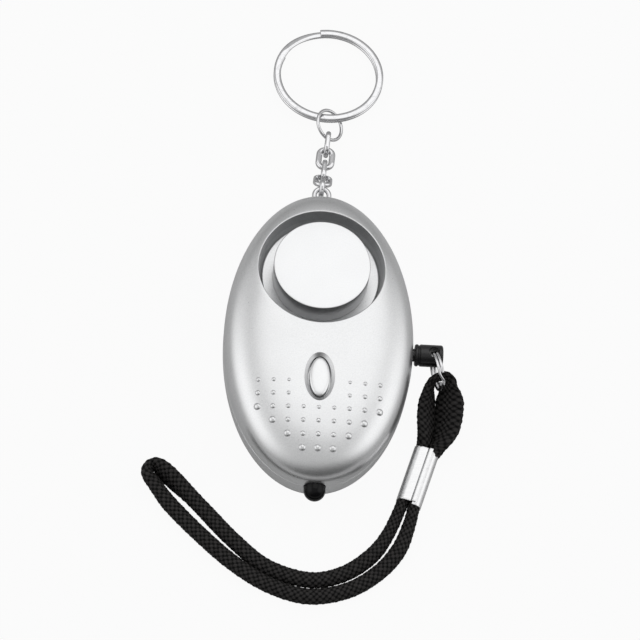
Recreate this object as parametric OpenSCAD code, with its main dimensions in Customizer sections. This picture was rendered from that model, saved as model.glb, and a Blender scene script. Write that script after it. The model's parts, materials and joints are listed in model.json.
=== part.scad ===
// Personal safety alarm: egg-shaped case, siren, pull pin with wrist strap, key chain.
// The case lies on its back: +Z is out of the front, +Y runs towards the key chain.
// The origin is the middle of the flat back.

/* [Case] */
// Width of the case
body_w = 49.4; // [46:0.2:56]
// Length of the case
body_l = 82; // [78:0.5:92]
// Height of the line where the two shells meet
split_z = 11; // [10.5:0.1:13]
// Height of the front dome above that line
front_h = 10.6; // [10:0.1:13]
// Height of the back dome below that line, before the back is cut flat
back_h = 11.4; // [11.2:0.1:12.5]
// How much narrower the case gets towards the key chain
egg = 0.02; // [0:0.01:0.05]
// Fullness of the front dome: 2 is an ellipse, more is squarer
front_fullness = 3.5; // [3.2:0.1:6]
// Fullness of the back dome
back_fullness = 4.6; // [3.5:0.1:6]
// Wall of both shells
wall = 1.8; // [1.4:0.1:2.2]

/* [Siren] */
// Distance of the siren from the middle of the case
siren_y = 17.2; // [16:0.1:19]
// Radius of the recess at its rim
recess_r = 16.5; // [15.5:0.1:17]
// Height of the recess floor above the flat back
recess_floor_z = 15.1; // [14.6:0.1:16]
// Inward lean of the recess wall from rim to floor
recess_draft = 0.95; // [0:0.05:1.5]
// Wall and floor of the recess
recess_wall = 1.4; // [1:0.1:1.8]
// Radius of the siren cap
cap_r = 12.6; // [11:0.1:13.2]
// Height of the siren cap above the recess floor
cap_h = 6.3; // [5:0.1:7]
// Wall of the siren cap
cap_wall = 1.4; // [1:0.1:2]
// Number of feet under the cap, with a sound slot between each two
cap_feet = 3; // [3:1:6]
// Height of the sound slots
cap_slot_h = 0.4; // [0.3:0.05:1]
// Radius of the sounder plate
piezo_r = 10; // [9:0.1:10.5]
// Radius of the ceramic layer
ceramic_r = 7; // [5:0.1:8]

/* [Light button] */
// Distance of the button from the middle of the case
button_y = -14.6; // [-16:0.1:-12]
// Width of the button
button_w = 5.2; // [4:0.1:6]
// Length of the button
button_l = 10.7; // [9:0.1:12]
// Gap round the button
button_gap = 0.35; // [0.25:0.05:0.5]
// Width of the bevel round the opening
bezel_w = 0.9; // [0.5:0.05:1.2]
// Travel of the button
button_travel = 0.6; // [0.3:0.1:0.8]

/* [Grip dots] */
// Distance between columns of dots
dot_pitch_x = 3.9; // [3.4:0.1:4.2]
// Distance between rows of dots
dot_pitch_y = 3.55; // [3.2:0.05:3.9]
// Distance of the first full row from the middle of the case
dot_row_y = -23; // [-24:0.1:-22]
// Diameter of the largest dots
dot_d = 1.9; // [1.4:0.1:2.2]
// How far a dot stands proud
dot_h = 0.45; // [0.3:0.05:0.6]

/* [Lamp] */
// Diameter of the lamp dome
lamp_d = 5.6; // [4.8:0.1:6]
// Distance of the dome's centre beyond the tip of the case
lamp_out = 0.8; // [0.2:0.1:1.5]

/* [Pull pin] */
// Place of the pin along the case
pin_y = -2.6; // [-4:0.1:-1.5]
// Diameter of the pin's head
pin_d = 5.8; // [5.4:0.1:6.4]
// Length of the pin's head
pin_l = 7.3; // [6.8:0.1:9]
// Diameter of the pin's shaft
shaft_d = 3.4; // [2.8:0.1:3.8]
// Length of the pin's shaft
shaft_l = 20; // [17:0.5:22]
// Diameter of the cross hole in the head
cross_hole_d = 2.9; // [2.7:0.05:3.1]
// Distance of the cross hole from the outer end
cross_hole_in = 2.4; // [2:0.1:3]
// Mean radius of the pin's split ring
pin_ring_r = 4.8; // [4.7:0.1:6]
// Wire of the pin's split ring
pin_ring_wire = 0.75; // [0.6:0.05:0.85]

/* [Key chain] */
// Diameter of the bail wire
bail_wire = 1.3; // [1:0.05:1.4]
// How far the bail stands out of the case
bail_out = 4.7; // [4.4:0.1:6]
// Mean radius of the bail's arch
bail_r = 1.95; // [1.8:0.05:2.2]
// Length of one link
link_l = 7.7; // [7.4:0.1:9]
// Width of one link
link_w = 5.2; // [5:0.1:6]
// Wire of the links
link_wire = 1.4; // [1:0.05:1.45]
// Mean radius of the jump ring
jump_r = 4.3; // [4.25:0.05:5.2]
// Wire of the jump ring
jump_wire = 0.9; // [0.8:0.05:1.1]
// Opening between the ends of the jump ring
jump_slit = 0.6; // [0.3:0.1:1]
// Outer radius of the key ring
key_r = 15.25; // [13:0.25:18]
// Width of the key ring's wire
key_wire_w = 2; // [1.6:0.1:2.1]
// Height of the key ring's wire
key_wire_h = 0.9; // [0.7:0.02:0.94]

/* [Strap] */
// Diameter of the braided strap
strap_d = 3.8; // [3.4:0.1:3.8]
// Wall of the crimp sleeve
sleeve_wall = 0.4; // [0.3:0.05:0.6]
// Length of the crimp sleeve
sleeve_l = 15.6; // [12:0.2:18]

/* [Clearances] */
// Gap between wires that hook into each other
link_gap = 0.12; // [0.1:0.01:0.2]
// Gap round a pin, a lamp or a leg in its hole
fit_gap = 0.1; // [0.05:0.01:0.2]
// Gap between the turns of a split ring
turn_gap = 0.12; // [0.08:0.01:0.2]

/* [Hidden] */
$fn = 48;
bite = 0.01;
table_gap = 0.02;
seat_gap = 0.02;

// Case
half_w = body_w / 2;
half_l = body_l / 2;
crown_z = split_z + front_h;
shell_sides = 72;
shell_rings = 12;
cavity_sides = 48;
cavity_rings = 9;

// Height of the front surface over a point of the plan
function front_z(x, y) =
    let (rho = norm([x / (half_w * (1 - egg * y / half_l)), y / half_l]))
    split_z + front_h * pow(1 - pow(rho, front_fullness), 1 / front_fullness);

// Grip dots: how deep a dot is rooted in the wall, and its facets
dot_root = 0.4;
dot_sides = 10;
dot_rings = 3;

// Siren
recess_floor_r = recess_r - recess_draft;
recess_under_z = recess_floor_z - recess_wall;
cap_post_d = 2.4;
cap_post_r = cap_r * 0.55;
cap_foot_turn = 14;
cap_edge = 0.35;
sound_port_d = 5;
chamber_wall = 1.4;
chamber_h = 1.7;
piezo_t = 0.3;
ceramic_t = 0.25;
piezo_z = recess_under_z - chamber_h;

// Cells, board and switch, stacked up from the back
cell_d = 11.6;
cell_t = 5.4;
cell_count = 3;
cell_step = 0.8;
cell_y = -19.5;
cradle_t = 0.6;
cell_z = wall + cradle_t + cell_d / 2;
cell_row = cell_count * cell_t;
contact_t = 0.3;
contact_w = 8;
contact_h = 9;
rib_t = 1.2;
board_gap = 0.2;
board_z = cell_z + cell_d / 2 + board_gap;
board_t = 1;
board_top = board_z + board_t;
board_r = 19;
board_y = -9.5;
board_edge_y = siren_y - recess_floor_r - recess_wall - 0.7;
switch_w = 6;
switch_h = 2.6;
plunger_d = 3.2;
plunger_in = 1;

// Parts on the board
board_hole_d = 1.6;
board_screw_d = 1.1;
board_screw_l = 5;
board_screw_head_d = 2.8;
board_screw_head_t = 1;
post_spots = [[15.5, -9.5], [-15.5, -9.5], [12.5, -22], [-12.5, -22]];
chip_size = [5, 4, 1.5];
chip_spot = [board_r * 0.37, board_y - 4];
coil_d = 8;
coil_h = 3.6;
coil_core_d = 5.4;
coil_cheek = 0.7;
coil_gap = 0.03;
coil_spot = [post_spots[1][0] + (board_screw_head_d + coil_d) / 2 + coil_gap, board_y + 0.5];
capacitor_d = 4.5;
capacitor_h = 3.2;
capacitor_spot = [board_r * 0.45, board_y - 10];
resistor_size = [2, 1.2, 0.6];
resistor_step = [0.2, -2, 0];
resistor_spot = [-board_r / 2, board_y - 6.5];

// Light button
opening_w = button_w + 2 * button_gap;
opening_l = button_l + 2 * button_gap;
button_z = front_z(0, button_y);
button_proud = 0.15;
flange_t = 0.7;
flange_w = 1.1;
flange_gap = 0.45;
flange_top = crown_z - wall - flange_gap - (crown_z - button_z);
flange_z = flange_top - flange_t;
flange_out_w = button_w + 2 * flange_w;
flange_out_l = button_l + 2 * flange_w;
button_top = button_z + button_proud;
button_crown = 0.3;
button_edge = 0.6;

// Lamp
lamp_r = lamp_d / 2;
lamp_tip_y = -half_l - lamp_out;
lamp_flange_d = 6.6;
lamp_flange_t = 1;
lamp_flange_y = -(half_l - wall) * sqrt(1 - pow(lamp_flange_d / 2 / (half_w - wall), 2)) + fit_gap;
lamp_lead_d = 0.6;
lamp_lead_pitch = 2.54;
lamp_lead_y = board_y - board_r + 1;

// Screws
screw_spots = [[18.8, 7], [-18.8, 7], [9.5, -31], [-9.5, -31]];
screw_d = 2;
screw_cross_l = 2.6;
screw_cross_w = 0.6;
screw_cross_t = 0.8;
screw_head_d = 4.6;
screw_head_t = 1.6;
screw_well_d = screw_head_d + 0.4;
screw_seat_z = 3.2;
screw_top_z = split_z + 5;
boss_d = 5.6;
post_d = 3.4;

// Pull pin
pin_gap = 0.6;
pin_x = half_w + pin_gap;
pin_end_x = pin_x + pin_l;
shaft_tip_x = pin_x - shaft_l;
cross_hole_x = pin_end_x - cross_hole_in;
guide_l = 12;
guide_x = half_w - wall - 1.6 - guide_l;
guide_w = shaft_d + 2.4;
leaf_t = 0.25;
leaf_l = 5;
leaf_h = 4.4;

// Split rings: steps in one turn, the length of the jog and the gap at each end of the wire
turn_steps = 36;
jog_deg = 30;
ring_end_gap = 1.5;
pin_ring_heading = -76;
pin_ring_back = 0.4;

// Key chain
chain_yaw = -5.2;
bail_apex_y = half_l + bail_out - bail_wire / 2;
bail_arch_y = bail_apex_y - bail_r;
bail_bar_y = half_l - wall - bail_wire / 2 - 0.3;
link_count = 5;
link_arc_r = (link_w - link_wire) / 2;
link_pitch = link_l - 2 * link_wire - link_gap;
// Slope of each link from the case outwards, steep where the chain hangs, then along the table
chain_low_z = 3.1;
easy_slope = -8.5;
steep_drop = split_z - chain_low_z + 2 * link_pitch * sin(easy_slope);
steep_slope = -asin(steep_drop / (link_step(0) + link_step(1)));
link_slope = [steep_slope, steep_slope, easy_slope, easy_slope, 0];
function slope_dir(a) = [0, cos(a), sin(a)];
function link_hook(i) =
    i == 0 ? [0, bail_apex_y, split_z] : link_hook(i - 1) + link_step(i - 1) * slope_dir(link_slope[i - 1]);
function link_step(i) = link_l - link_wire - hook_in(i);
function hook_in(i) = (i == 0 ? bail_wire : link_wire) / 2 + link_wire / 2 + link_gap;
chain_end = link_hook(link_count);
jump_in = (link_wire + jump_wire) / 2 + link_gap;
jump_y = chain_end[1] - jump_in + jump_r;
jump_roll = asin((chain_low_z - jump_wire / 2 - table_gap) / jump_r);
key_stack = 2 * key_wire_h + turn_gap;
key_rise = 0.1;
key_turn = 8.4;
key_slack = 0.8;
key_hook_y = jump_y + jump_r - jump_wire / 2 - key_wire_w / 2 - key_slack;
key_mean_r = key_r - key_wire_w / 2;
key_hook_z = chain_low_z + key_rise;
key_tilt = asin((key_hook_z - key_stack / 2 - table_gap) / (key_mean_r + key_r));

// Crimp sleeve
sleeve_start = [29.45, -26.25];
sleeve_heading = 252.6;
sleeve_in_w = 5.9;
sleeve_in_h = strap_d * 1.075;
sleeve_corner_r = 1.8;
sleeve_z = sleeve_in_h / 2 + sleeve_wall + table_gap;

// Strap: points of its middle line, then its width and thickness there and how far it is turned on edge
strap_route = [
    [26.05, -32, 2.5, 4, 2.95, 90],
    [27.9, -26.08, 2.5, 4, 2.95, 90],
    [28.26, -23.55, 3.5, 4.8, 2.6, 108],
    [28.6, -20.11, 4.6, 5.9, 2.3, 126],
    [28.75, -16.63, 5.6, 6.6, 2.1, 131],
    [28.84, -12.9, 6.8, 6.4, 1.9, 123],
    [29.22, -10.23, 8.2, 5, 1.7, 103],
    [30.44, -8.55, 9.3, 4.3, 1.6, 92],
    [32.72, -7.52, 9.6, 4.4, 1.7, 95],
    [34.5, -8.44, 9.25, 5, 1.8, 110],
    [34.85, -10.6, 8, 6.8, 1.9, 130],
    [35, -12.89, 6.9, 8.2, 2, 142],
    [35, -15.18, 5.9, 8.4, 2, 146],
    [34.75, -18.07, 5, 8.4, 2, 146],
    [34.2, -21.01, 4.3, 8.2, 2.1, 143],
    [33.45, -23.68, 3.7, 6.8, 2.3, 132],
    [32.52, -25.7, 3, 5, 2.7, 108],
    [30.25, -28.81, 2.5, 4, 2.95, 90],
    [28.22, -35.3, 2.5, 4, 2.95, 90],
    [26.36, -41.21, 2.5, 4, 2.95, 90],
    [25.1, -46.5, 2.1, 3.9, 3.3, 90],
    [22.45, -53.5, 2, 3.9, 4, 90],
    [17.4, -59.8, 2, 3.9, 4, 90],
    [9.5, -65, 2, 3.9, 4, 90],
    [-0.5, -67, 2, 3.9, 4, 90],
    [-10.5, -64.4, 2, 3.9, 4, 90],
    [-19.9, -58.8, 2, 3.9, 4, 90],
    [-28.9, -51.2, 2, 3.9, 4, 90],
    [-36.3, -44, 2.12, 3.9, 4, 90],
    [-40.5, -39, 2.35, 4.8, 3.1, 114],
    [-42.7, -35.9, 2.5, 5, 2.4, 114],
    [-41.7, -33.5, 2.45, 4.8, 2.1, 108],
    [-38.9, -33.9, 2.5, 5, 2.4, 114],
    [-34.3, -38, 2.35, 4.8, 3.1, 112],
    [-27.2, -45.5, 2.12, 3.9, 4, 90],
    [-19.7, -53, 2, 3.9, 4, 90],
    [-11.2, -59.6, 2, 3.9, 4, 90],
    [-0.6, -62.6, 2, 3.9, 4, 90],
    [8, -60.8, 2, 3.9, 4, 90],
    [15.2, -55.7, 2, 3.9, 4, 90],
    [19.75, -49.2, 2.1, 3.9, 3.3, 90],
    [23.59, -39.82, 2.5, 4, 2.95, 90],
    [25.54, -33.62, 2.5, 4, 2.95, 90]
];
// The widths were laid out for a strap of this diameter, and follow it
strap_drawn_d = 3.8;
strap_scale = strap_d / strap_drawn_d;
// The route was laid out from this place of the cross hole, and follows it when it moves
strap_anchor = [30.2, -2.6, 11];
strap_shift = [cross_hole_x - strap_anchor[0], pin_y - strap_anchor[1], split_z - strap_anchor[2]];
strap_points = [
    for (p = strap_route)
        let (rise = max(0, p[2] - sleeve_z) / (strap_anchor[2] - sleeve_z))
        [p[0] + strap_shift[0], p[1] + strap_shift[1], p[2] + strap_shift[2] * rise,
         p[3] * strap_scale, p[4] * strap_scale, p[5]]
];
strap_sides = 8;

// One half of an egg: rings of points from the rim up to the crown, squarer where full is larger
module dome(hw, hl, h, full, sides, rings, taper = 0) {
    ring_points = [
        for (i = [0:rings - 1], k = [0:sides - 1])
            let (t = 90 * i / rings, a = 360 * k / sides, rho = pow(cos(t), 2 / full))
            [hw * rho * cos(a) * (1 - taper * rho * sin(a)), hl * rho * sin(a), h * pow(sin(t), 2 / full)]
    ];
    crown = sides * rings;
    side_faces = [
        for (i = [0:rings - 2], k = [0:sides - 1])
            let (a = i * sides + k, b = i * sides + (k + 1) % sides)
            each [[a, a + sides, b], [b, a + sides, b + sides]]
    ];
    crown_faces = [for (k = [0:sides - 1]) [crown - sides + k, crown, crown - sides + (k + 1) % sides]];
    polyhedron(
        points = concat(ring_points, [[0, 0, h]]),
        faces = concat(side_faces, crown_faces, [[for (k = [0:sides - 1]) k]])
    );
}

// Dome of the case, or of the hollow that lies a wall inside it
module case_dome(inset, h, full, sides, rings) {
    dome(half_w - inset, half_l - inset, h, full, sides, rings, egg);
}

module front_outer() {
    translate([0, 0, split_z]) case_dome(0, front_h, front_fullness, shell_sides, shell_rings);
}

module back_outer() {
    difference() {
        translate([0, 0, split_z]) mirror([0, 0, 1])
            case_dome(0, back_h, back_fullness, shell_sides, shell_rings);
        translate([-body_w, -body_l, -body_w]) cube([2 * body_w, 2 * body_l, body_w]);
    }
}

// Upright oval of several sizes: each level is its width, its length, then its height
module oval_loft(levels) {
    sides = 48;
    points = [
        for (v = levels, k = [0:sides - 1])
            let (a = -360 * k / sides)
            [v[0] / 2 * cos(a), v[1] / 2 * sin(a), v[2]]
    ];
    polyhedron(points = points, faces = tube_faces(len(levels), sides));
}

// Holes that the two shells share at the line where they meet
module shared_holes() {
    translate([half_w - 3 * wall, pin_y, split_z]) rotate([0, 90, 0])
        cylinder(d = shaft_d + 2 * fit_gap, h = 6 * wall);
    translate([0, -half_l + 2 * wall, split_z]) rotate([90, 0, 0])
        cylinder(d = lamp_d + 2 * fit_gap, h = 4 * wall);
    for (s = [-1, 1]) translate([s * bail_r, half_l - 2 * wall, split_z]) rotate([-90, 0, 0])
        cylinder(d = bail_wire + fit_gap, h = 4 * wall);
}

// Grip dots: nine columns whose lower ends follow the tip of the case
module grip_dots() {
    for (c = [-4:4], r = [-2:3])
        if (r <= 4 - abs(c) && (r >= 0 || abs(c) >= 2)) {
            below = min(3, 4 - abs(c)) - r;
            d = dot_d * (below == 0 ? 1 : 0.82 - 0.08 * below);
            h = dot_h * d / dot_d;
            x = c * dot_pitch_x;
            y = dot_row_y - r * dot_pitch_y;
            translate([x, y, front_z(x, y) - dot_root])
                dome(d / 2 + dot_root / 4, d / 2 + dot_root / 4, h + dot_root, 2, dot_sides, dot_rings);
        }
}

module front_shell() color("silver") {
    difference() {
        union() {
            difference() {
                front_outer();
                translate([0, 0, split_z - bite])
                    case_dome(wall, front_h - wall + bite, front_fullness, cavity_sides, cavity_rings);
            }
            intersection() {
                front_outer();
                union() {
                    translate([0, siren_y, recess_under_z])
                        cylinder(r1 = recess_floor_r + recess_wall, r2 = recess_r + recess_wall,
                                 h = crown_z - recess_under_z, $fn = 96);
                    for (p = screw_spots) translate([p[0], p[1], split_z])
                        cylinder(d = boss_d, h = front_h);
                }
            }
            translate([0, siren_y, piezo_z]) difference() {
                cylinder(r = piezo_r + fit_gap, h = chamber_h + bite);
                translate([0, 0, -bite]) cylinder(r = piezo_r - chamber_wall, h = chamber_h + 3 * bite);
            }
            grip_dots();
        }
        translate([0, siren_y, recess_floor_z])
            cylinder(r1 = recess_floor_r, r2 = recess_r, h = crown_z - recess_floor_z + bite, $fn = 96);
        translate([0, siren_y, recess_under_z - bite]) cylinder(d = sound_port_d, h = 2 * recess_wall);
        for (k = [0:2]) translate([0, siren_y, recess_under_z - bite]) rotate(120 * k + 30)
            translate([cap_post_r, 0, 0]) cylinder(d = cap_post_d + fit_gap, h = 2 * recess_wall);
        translate([0, button_y, 0]) oval_loft([
            [opening_w, opening_l, split_z], [opening_w, opening_l, button_z - bezel_w],
            [opening_w + 4 * bezel_w, opening_l + 4 * bezel_w, button_z + bezel_w]
        ]);
        for (p = screw_spots) translate([p[0], p[1], split_z - bite])
            cylinder(d = screw_d + fit_gap, h = screw_top_z - split_z + 1);
        shared_holes();
    }
}

module back_shell() color("silver") {
    difference() {
        union() {
            difference() {
                back_outer();
                translate([0, 0, split_z + bite]) mirror([0, 0, 1])
                    case_dome(wall, split_z - wall + bite, back_fullness, cavity_sides, cavity_rings);
            }
            intersection() {
                back_outer();
                union() {
                    for (p = screw_spots) translate([p[0], p[1], 0]) cylinder(d = boss_d + 1.2, h = split_z);
                    cell_cradle();
                }
            }
            for (p = post_spots) translate([p[0], p[1], wall / 2])
                cylinder(d = post_d, h = board_z - wall / 2);
        }
        for (p = screw_spots) translate([p[0], p[1], -bite]) {
            cylinder(d = screw_well_d, h = screw_seat_z + bite);
            cylinder(d = screw_d + 0.4, h = split_z + 1);
        }
        for (p = [post_spots[0], post_spots[1]]) translate([p[0], p[1], board_z - board_screw_l])
            cylinder(d = board_screw_d + fit_gap, h = board_screw_l + 1);
        shared_holes();
    }
}

// Ribs that hold the row of cells and its end contacts
module cell_cradle() {
    difference() {
        for (s = [-1, 1]) {
            translate([s * cell_t - rib_t / 2, cell_y - cell_d / 2, wall / 2])
                cube([rib_t, cell_d, cell_z - cell_d / 4]);
            translate([s * (cell_row / 2 + fit_gap + contact_t + rib_t / 2) - rib_t / 2,
                       cell_y - cell_d / 2, wall / 2])
                cube([rib_t, cell_d, cell_z]);
        }
        translate([-cell_row / 2 - fit_gap, cell_y, cell_z]) rotate([0, 90, 0])
            cylinder(d = cell_d + 2 * seat_gap, h = cell_row + 2 * fit_gap);
    }
}

// Inverted cup on three posts, with sound slots at its foot
module siren_cap() color("gainsboro") translate([0, siren_y, recess_floor_z]) {
    difference() {
        rotate_extrude($fn = 96) polygon([
            [0, cap_h], [cap_r - cap_edge, cap_h], [cap_r, cap_h - cap_edge], [cap_r, 0],
            [cap_r - cap_wall, 0], [cap_r - cap_wall, cap_h - cap_wall], [0, cap_h - cap_wall]
        ]);
        for (k = [0:cap_feet - 1]) rotate(360 * k / cap_feet + cap_foot_turn / 2)
            rotate_extrude(angle = 360 / cap_feet - cap_foot_turn)
                translate([cap_r - 2 * cap_wall, -bite]) square([3 * cap_wall, cap_slot_h + bite]);
    }
    for (k = [0:2]) rotate(120 * k + 30) translate([cap_post_r, 0, -recess_wall])
        cylinder(d = cap_post_d, h = cap_h - cap_wall + recess_wall + bite);
}

module piezo_plate() color("goldenrod") {
    translate([0, siren_y, piezo_z - piezo_t]) cylinder(r = piezo_r, h = piezo_t);
}

module piezo_ceramic() color("ivory") {
    translate([0, siren_y, piezo_z - piezo_t - ceramic_t]) cylinder(r = ceramic_r, h = ceramic_t);
}

// Button with a crowned top and a flange that keeps it in the shell
module light_button() color("gainsboro") translate([0, button_y, 0]) oval_loft([
    [flange_out_w, flange_out_l, flange_z], [flange_out_w, flange_out_l, flange_top],
    [button_w, button_l, flange_top], [button_w, button_l, button_top - button_crown],
    [button_w - button_edge, button_l - button_edge, button_top - button_crown / 2],
    [button_w / 2, button_l / 2, button_top]
]);

module switch_plunger() color("dimgray") {
    translate([0, button_y, board_top + switch_h - plunger_in])
        cylinder(d = plunger_d, h = flange_z - board_top - switch_h + plunger_in);
}

module tact_switch() color("black") translate([0, button_y, board_top]) {
    difference() {
        translate([-switch_w / 2, -switch_w / 2, 0]) cube([switch_w, switch_w, switch_h]);
        translate([0, 0, switch_h - plunger_in - button_travel - fit_gap])
            cylinder(d = plunger_d + 2 * fit_gap, h = switch_h);
    }
}

module circuit_board() color("seagreen") {
    difference() {
        intersection() {
            translate([0, board_y, board_z]) cylinder(r = board_r, h = board_t, $fn = 96);
            translate([-board_r, board_y - board_r, board_z])
                cube([2 * board_r, board_edge_y - board_y + board_r, board_t]);
        }
        for (p = [post_spots[0], post_spots[1]]) translate([p[0], p[1], board_z - bite])
            cylinder(d = board_hole_d, h = board_t + 2 * bite);
    }
}

module board_screws() color("silver") {
    for (p = [post_spots[0], post_spots[1]]) translate([p[0], p[1], board_top]) {
        cylinder(d = board_screw_head_d, h = board_screw_head_t);
        translate([0, 0, -board_screw_l]) cylinder(d = board_screw_d, h = board_screw_l + bite);
    }
}

module siren_chip() color("black") {
    translate([chip_spot[0], chip_spot[1], board_top]) cube(chip_size);
}

module step_up_coil() color("brown") translate([coil_spot[0], coil_spot[1], board_top]) {
    difference() {
        cylinder(d = coil_d, h = coil_h);
        translate([0, 0, coil_cheek]) difference() {
            cylinder(d = coil_d + 1, h = coil_h - 2 * coil_cheek);
            translate([0, 0, -bite]) cylinder(d = coil_core_d, h = coil_h - 2 * coil_cheek + 2 * bite);
        }
    }
}

module storage_capacitor() color("midnightblue") {
    translate([capacitor_spot[0], capacitor_spot[1], board_top]) cylinder(d = capacitor_d, h = capacitor_h);
}

module board_resistors() color("black") {
    for (k = [0:3]) translate([resistor_spot[0], resistor_spot[1], board_top])
        translate(k * resistor_step) cube(resistor_size);
}

module pin_guide() color("dimgray") {
    difference() {
        translate([guide_x, pin_y - guide_w / 2, split_z - guide_w / 2])
            cube([guide_l, guide_w, board_z - split_z + guide_w / 2]);
        translate([guide_x - 1, pin_y, split_z]) rotate([0, 90, 0])
            cylinder(d = shaft_d + 2 * fit_gap, h = guide_l + 2);
    }
}

// Springy strip that touches its twin when the pin is out
module contact_leaf(side) {
    translate([guide_x - fit_gap - leaf_l, pin_y + side * (shaft_d / 2 + fit_gap) + (side < 0 ? -leaf_t : 0),
               board_z - leaf_h])
        cube([leaf_l, leaf_t, leaf_h]);
}

module contact_leaf_front() color("goldenrod") contact_leaf(-1);

module contact_leaf_rear() color("goldenrod") contact_leaf(1);

module button_cells() color("lightgray") {
    for (k = [0:cell_count - 1])
        translate([-cell_row / 2 + k * cell_t, cell_y, cell_z]) rotate([0, 90, 0]) {
            cylinder(d = cell_d, h = cell_t - cell_step);
            translate([0, 0, cell_t - cell_step - bite])
                cylinder(d = cell_d - 2 * cell_step, h = cell_step - fit_gap + bite);
        }
}

module cell_contacts() color("goldenrod") {
    for (s = [-1, 1])
        translate([s * (cell_row / 2 + fit_gap + contact_t / 2) - contact_t / 2,
                   cell_y - contact_w / 2, cell_z - contact_h / 2])
            cube([contact_t, contact_w, contact_h]);
}

// Lamp with a round lens, a flange behind the wall and two legs up to the board
module led_lamp() color("black") {
    translate([0, lamp_tip_y, split_z]) rotate([-90, 0, 0]) rotate_extrude() {
        intersection() {
            circle(r = lamp_r);
            translate([0, -lamp_r]) square([lamp_r, lamp_r]);
        }
        square([lamp_r, lamp_flange_y - lamp_tip_y + lamp_flange_t]);
        translate([0, lamp_flange_y - lamp_tip_y]) square([lamp_flange_d / 2, lamp_flange_t]);
    }
    for (s = [-1, 1]) translate([s * lamp_lead_pitch / 2, 0, split_z]) {
        translate([0, lamp_flange_y, 0]) rotate([-90, 0, 0])
            cylinder(d = lamp_lead_d, h = lamp_lead_y - lamp_flange_y, $fn = 16);
        translate([0, lamp_lead_y, 0]) sphere(d = lamp_lead_d, $fn = 16);
        translate([0, lamp_lead_y, 0]) cylinder(d = lamp_lead_d, h = board_z - split_z, $fn = 16);
    }
}

module case_screws() color("silver") {
    for (p = screw_spots) translate([p[0], p[1], 0]) {
        translate([0, 0, screw_seat_z - screw_head_t]) difference() {
            cylinder(d = screw_head_d, h = screw_head_t);
            for (a = [0, 90]) rotate(a) translate([-screw_cross_l / 2, -screw_cross_w / 2, -bite])
                cube([screw_cross_l, screw_cross_w, screw_cross_t]);
        }
        translate([0, 0, screw_seat_z - bite]) cylinder(d = screw_d, h = screw_top_z - screw_seat_z);
    }
}

// Staple: an arch outside the case, two legs through the wall and a bar behind it
module chain_bail() color("whitesmoke") translate([0, 0, split_z]) {
    translate([0, bail_arch_y, 0]) rotate_extrude(angle = 180) translate([bail_r, 0]) circle(d = bail_wire);
    for (s = [-1, 1]) translate([s * bail_r, bail_bar_y, 0]) rotate([-90, 0, 0])
        cylinder(d = bail_wire, h = bail_arch_y - bail_bar_y);
    translate([-bail_r - bail_wire / 2, bail_bar_y, 0]) rotate([0, 90, 0])
        cylinder(d = bail_wire, h = 2 * bail_r + bail_wire);
}

// Oval wire link along +Y from its near wire, lying in the XY plane
module oval_link() {
    run = link_l - link_w;
    translate([0, link_arc_r, 0]) {
        rotate(180) rotate_extrude(angle = 180) translate([link_arc_r, 0]) circle(d = link_wire);
        translate([0, run, 0]) rotate_extrude(angle = 180) translate([link_arc_r, 0]) circle(d = link_wire);
        for (s = [-1, 1]) translate([s * link_arc_r, 0, 0]) rotate([-90, 0, 0])
            cylinder(d = link_wire, h = run);
    }
}

// Everything past the bail is turned a little to the right
module along_chain() {
    translate([0, bail_apex_y, 0]) rotate(chain_yaw) translate([0, -bail_apex_y, 0]) children();
}

// Links stand on edge and lie flat by turns, the first on edge
module chain_link(i) {
    along_chain() translate(link_hook(i)) rotate([link_slope[i], 0, 0]) translate([0, -hook_in(i), 0])
        rotate([0, i % 2 == 0 ? 90 : 0, 0]) oval_link();
}

module chain_link_1() color("lightgray") chain_link(0);

module chain_link_2() color("lightgray") chain_link(1);

module chain_link_3() color("lightgray") chain_link(2);

module chain_link_4() color("lightgray") chain_link(3);

module chain_link_5() color("lightgray") chain_link(4);

module jump_ring() color("lightgray") along_chain() {
    slit_deg = 360 * jump_slit / (2 * PI * jump_r);
    translate([0, jump_y, chain_end[2]]) rotate([0, jump_roll, 0]) rotate(60 + slit_deg / 2)
        rotate_extrude(angle = 360 - slit_deg) translate([jump_r, 0]) circle(d = jump_wire, $fn = 24);
}

// Height of a split ring's wire after a degrees: level, one jog, level again
function ring_rise(a, rise) =
    let (u = max(0, min(1, (a - 360 + jog_deg) / jog_deg)))
    rise * (u * u * (3 - 2 * u) - 0.5);

// Split ring of nearly two turns in the XY plane, its wire w wide and h high
module split_ring(r, w, h) {
    bevel = 0.28 * h;
    half = [w / 2, h / 2];
    section = [
        [half[0], bevel - half[1]], [half[0], half[1] - bevel], [half[0] - bevel, half[1]],
        [bevel - half[0], half[1]], [-half[0], half[1] - bevel], [-half[0], bevel - half[1]],
        [bevel - half[0], -half[1]], [half[0] - bevel, -half[1]]
    ];
    sweep_deg = 720 - jog_deg - 2 * ring_end_gap;
    steps = 2 * turn_steps;
    points = [
        for (k = [0:steps], q = section)
            let (a = ring_end_gap + k * sweep_deg / steps)
            [(r + q[0]) * cos(a), (r + q[0]) * sin(a), q[1] + ring_rise(a, h + turn_gap)]
    ];
    polyhedron(points = points, faces = tube_faces(steps + 1, len(section)));
}

// Triangles of a tube of rings, with a flat face at each end
function tube_faces(rings, n) = concat(
    [[for (j = [0:n - 1]) n - 1 - j]],
    [[for (j = [0:n - 1]) (rings - 1) * n + j]],
    [
        for (i = [0:rings - 2], j = [0:n - 1])
            let (a = i * n + j, b = i * n + (j + 1) % n)
            each [[a, b, a + n], [b, b + n, a + n]]
    ]
);

module key_ring() color("lightgray") along_chain() {
    translate([0, key_hook_y, key_hook_z]) rotate([-key_tilt, 0, key_turn]) translate([0, key_mean_r, 0])
        rotate(150) split_ring(key_mean_r, key_wire_w, key_wire_h);
}

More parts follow.
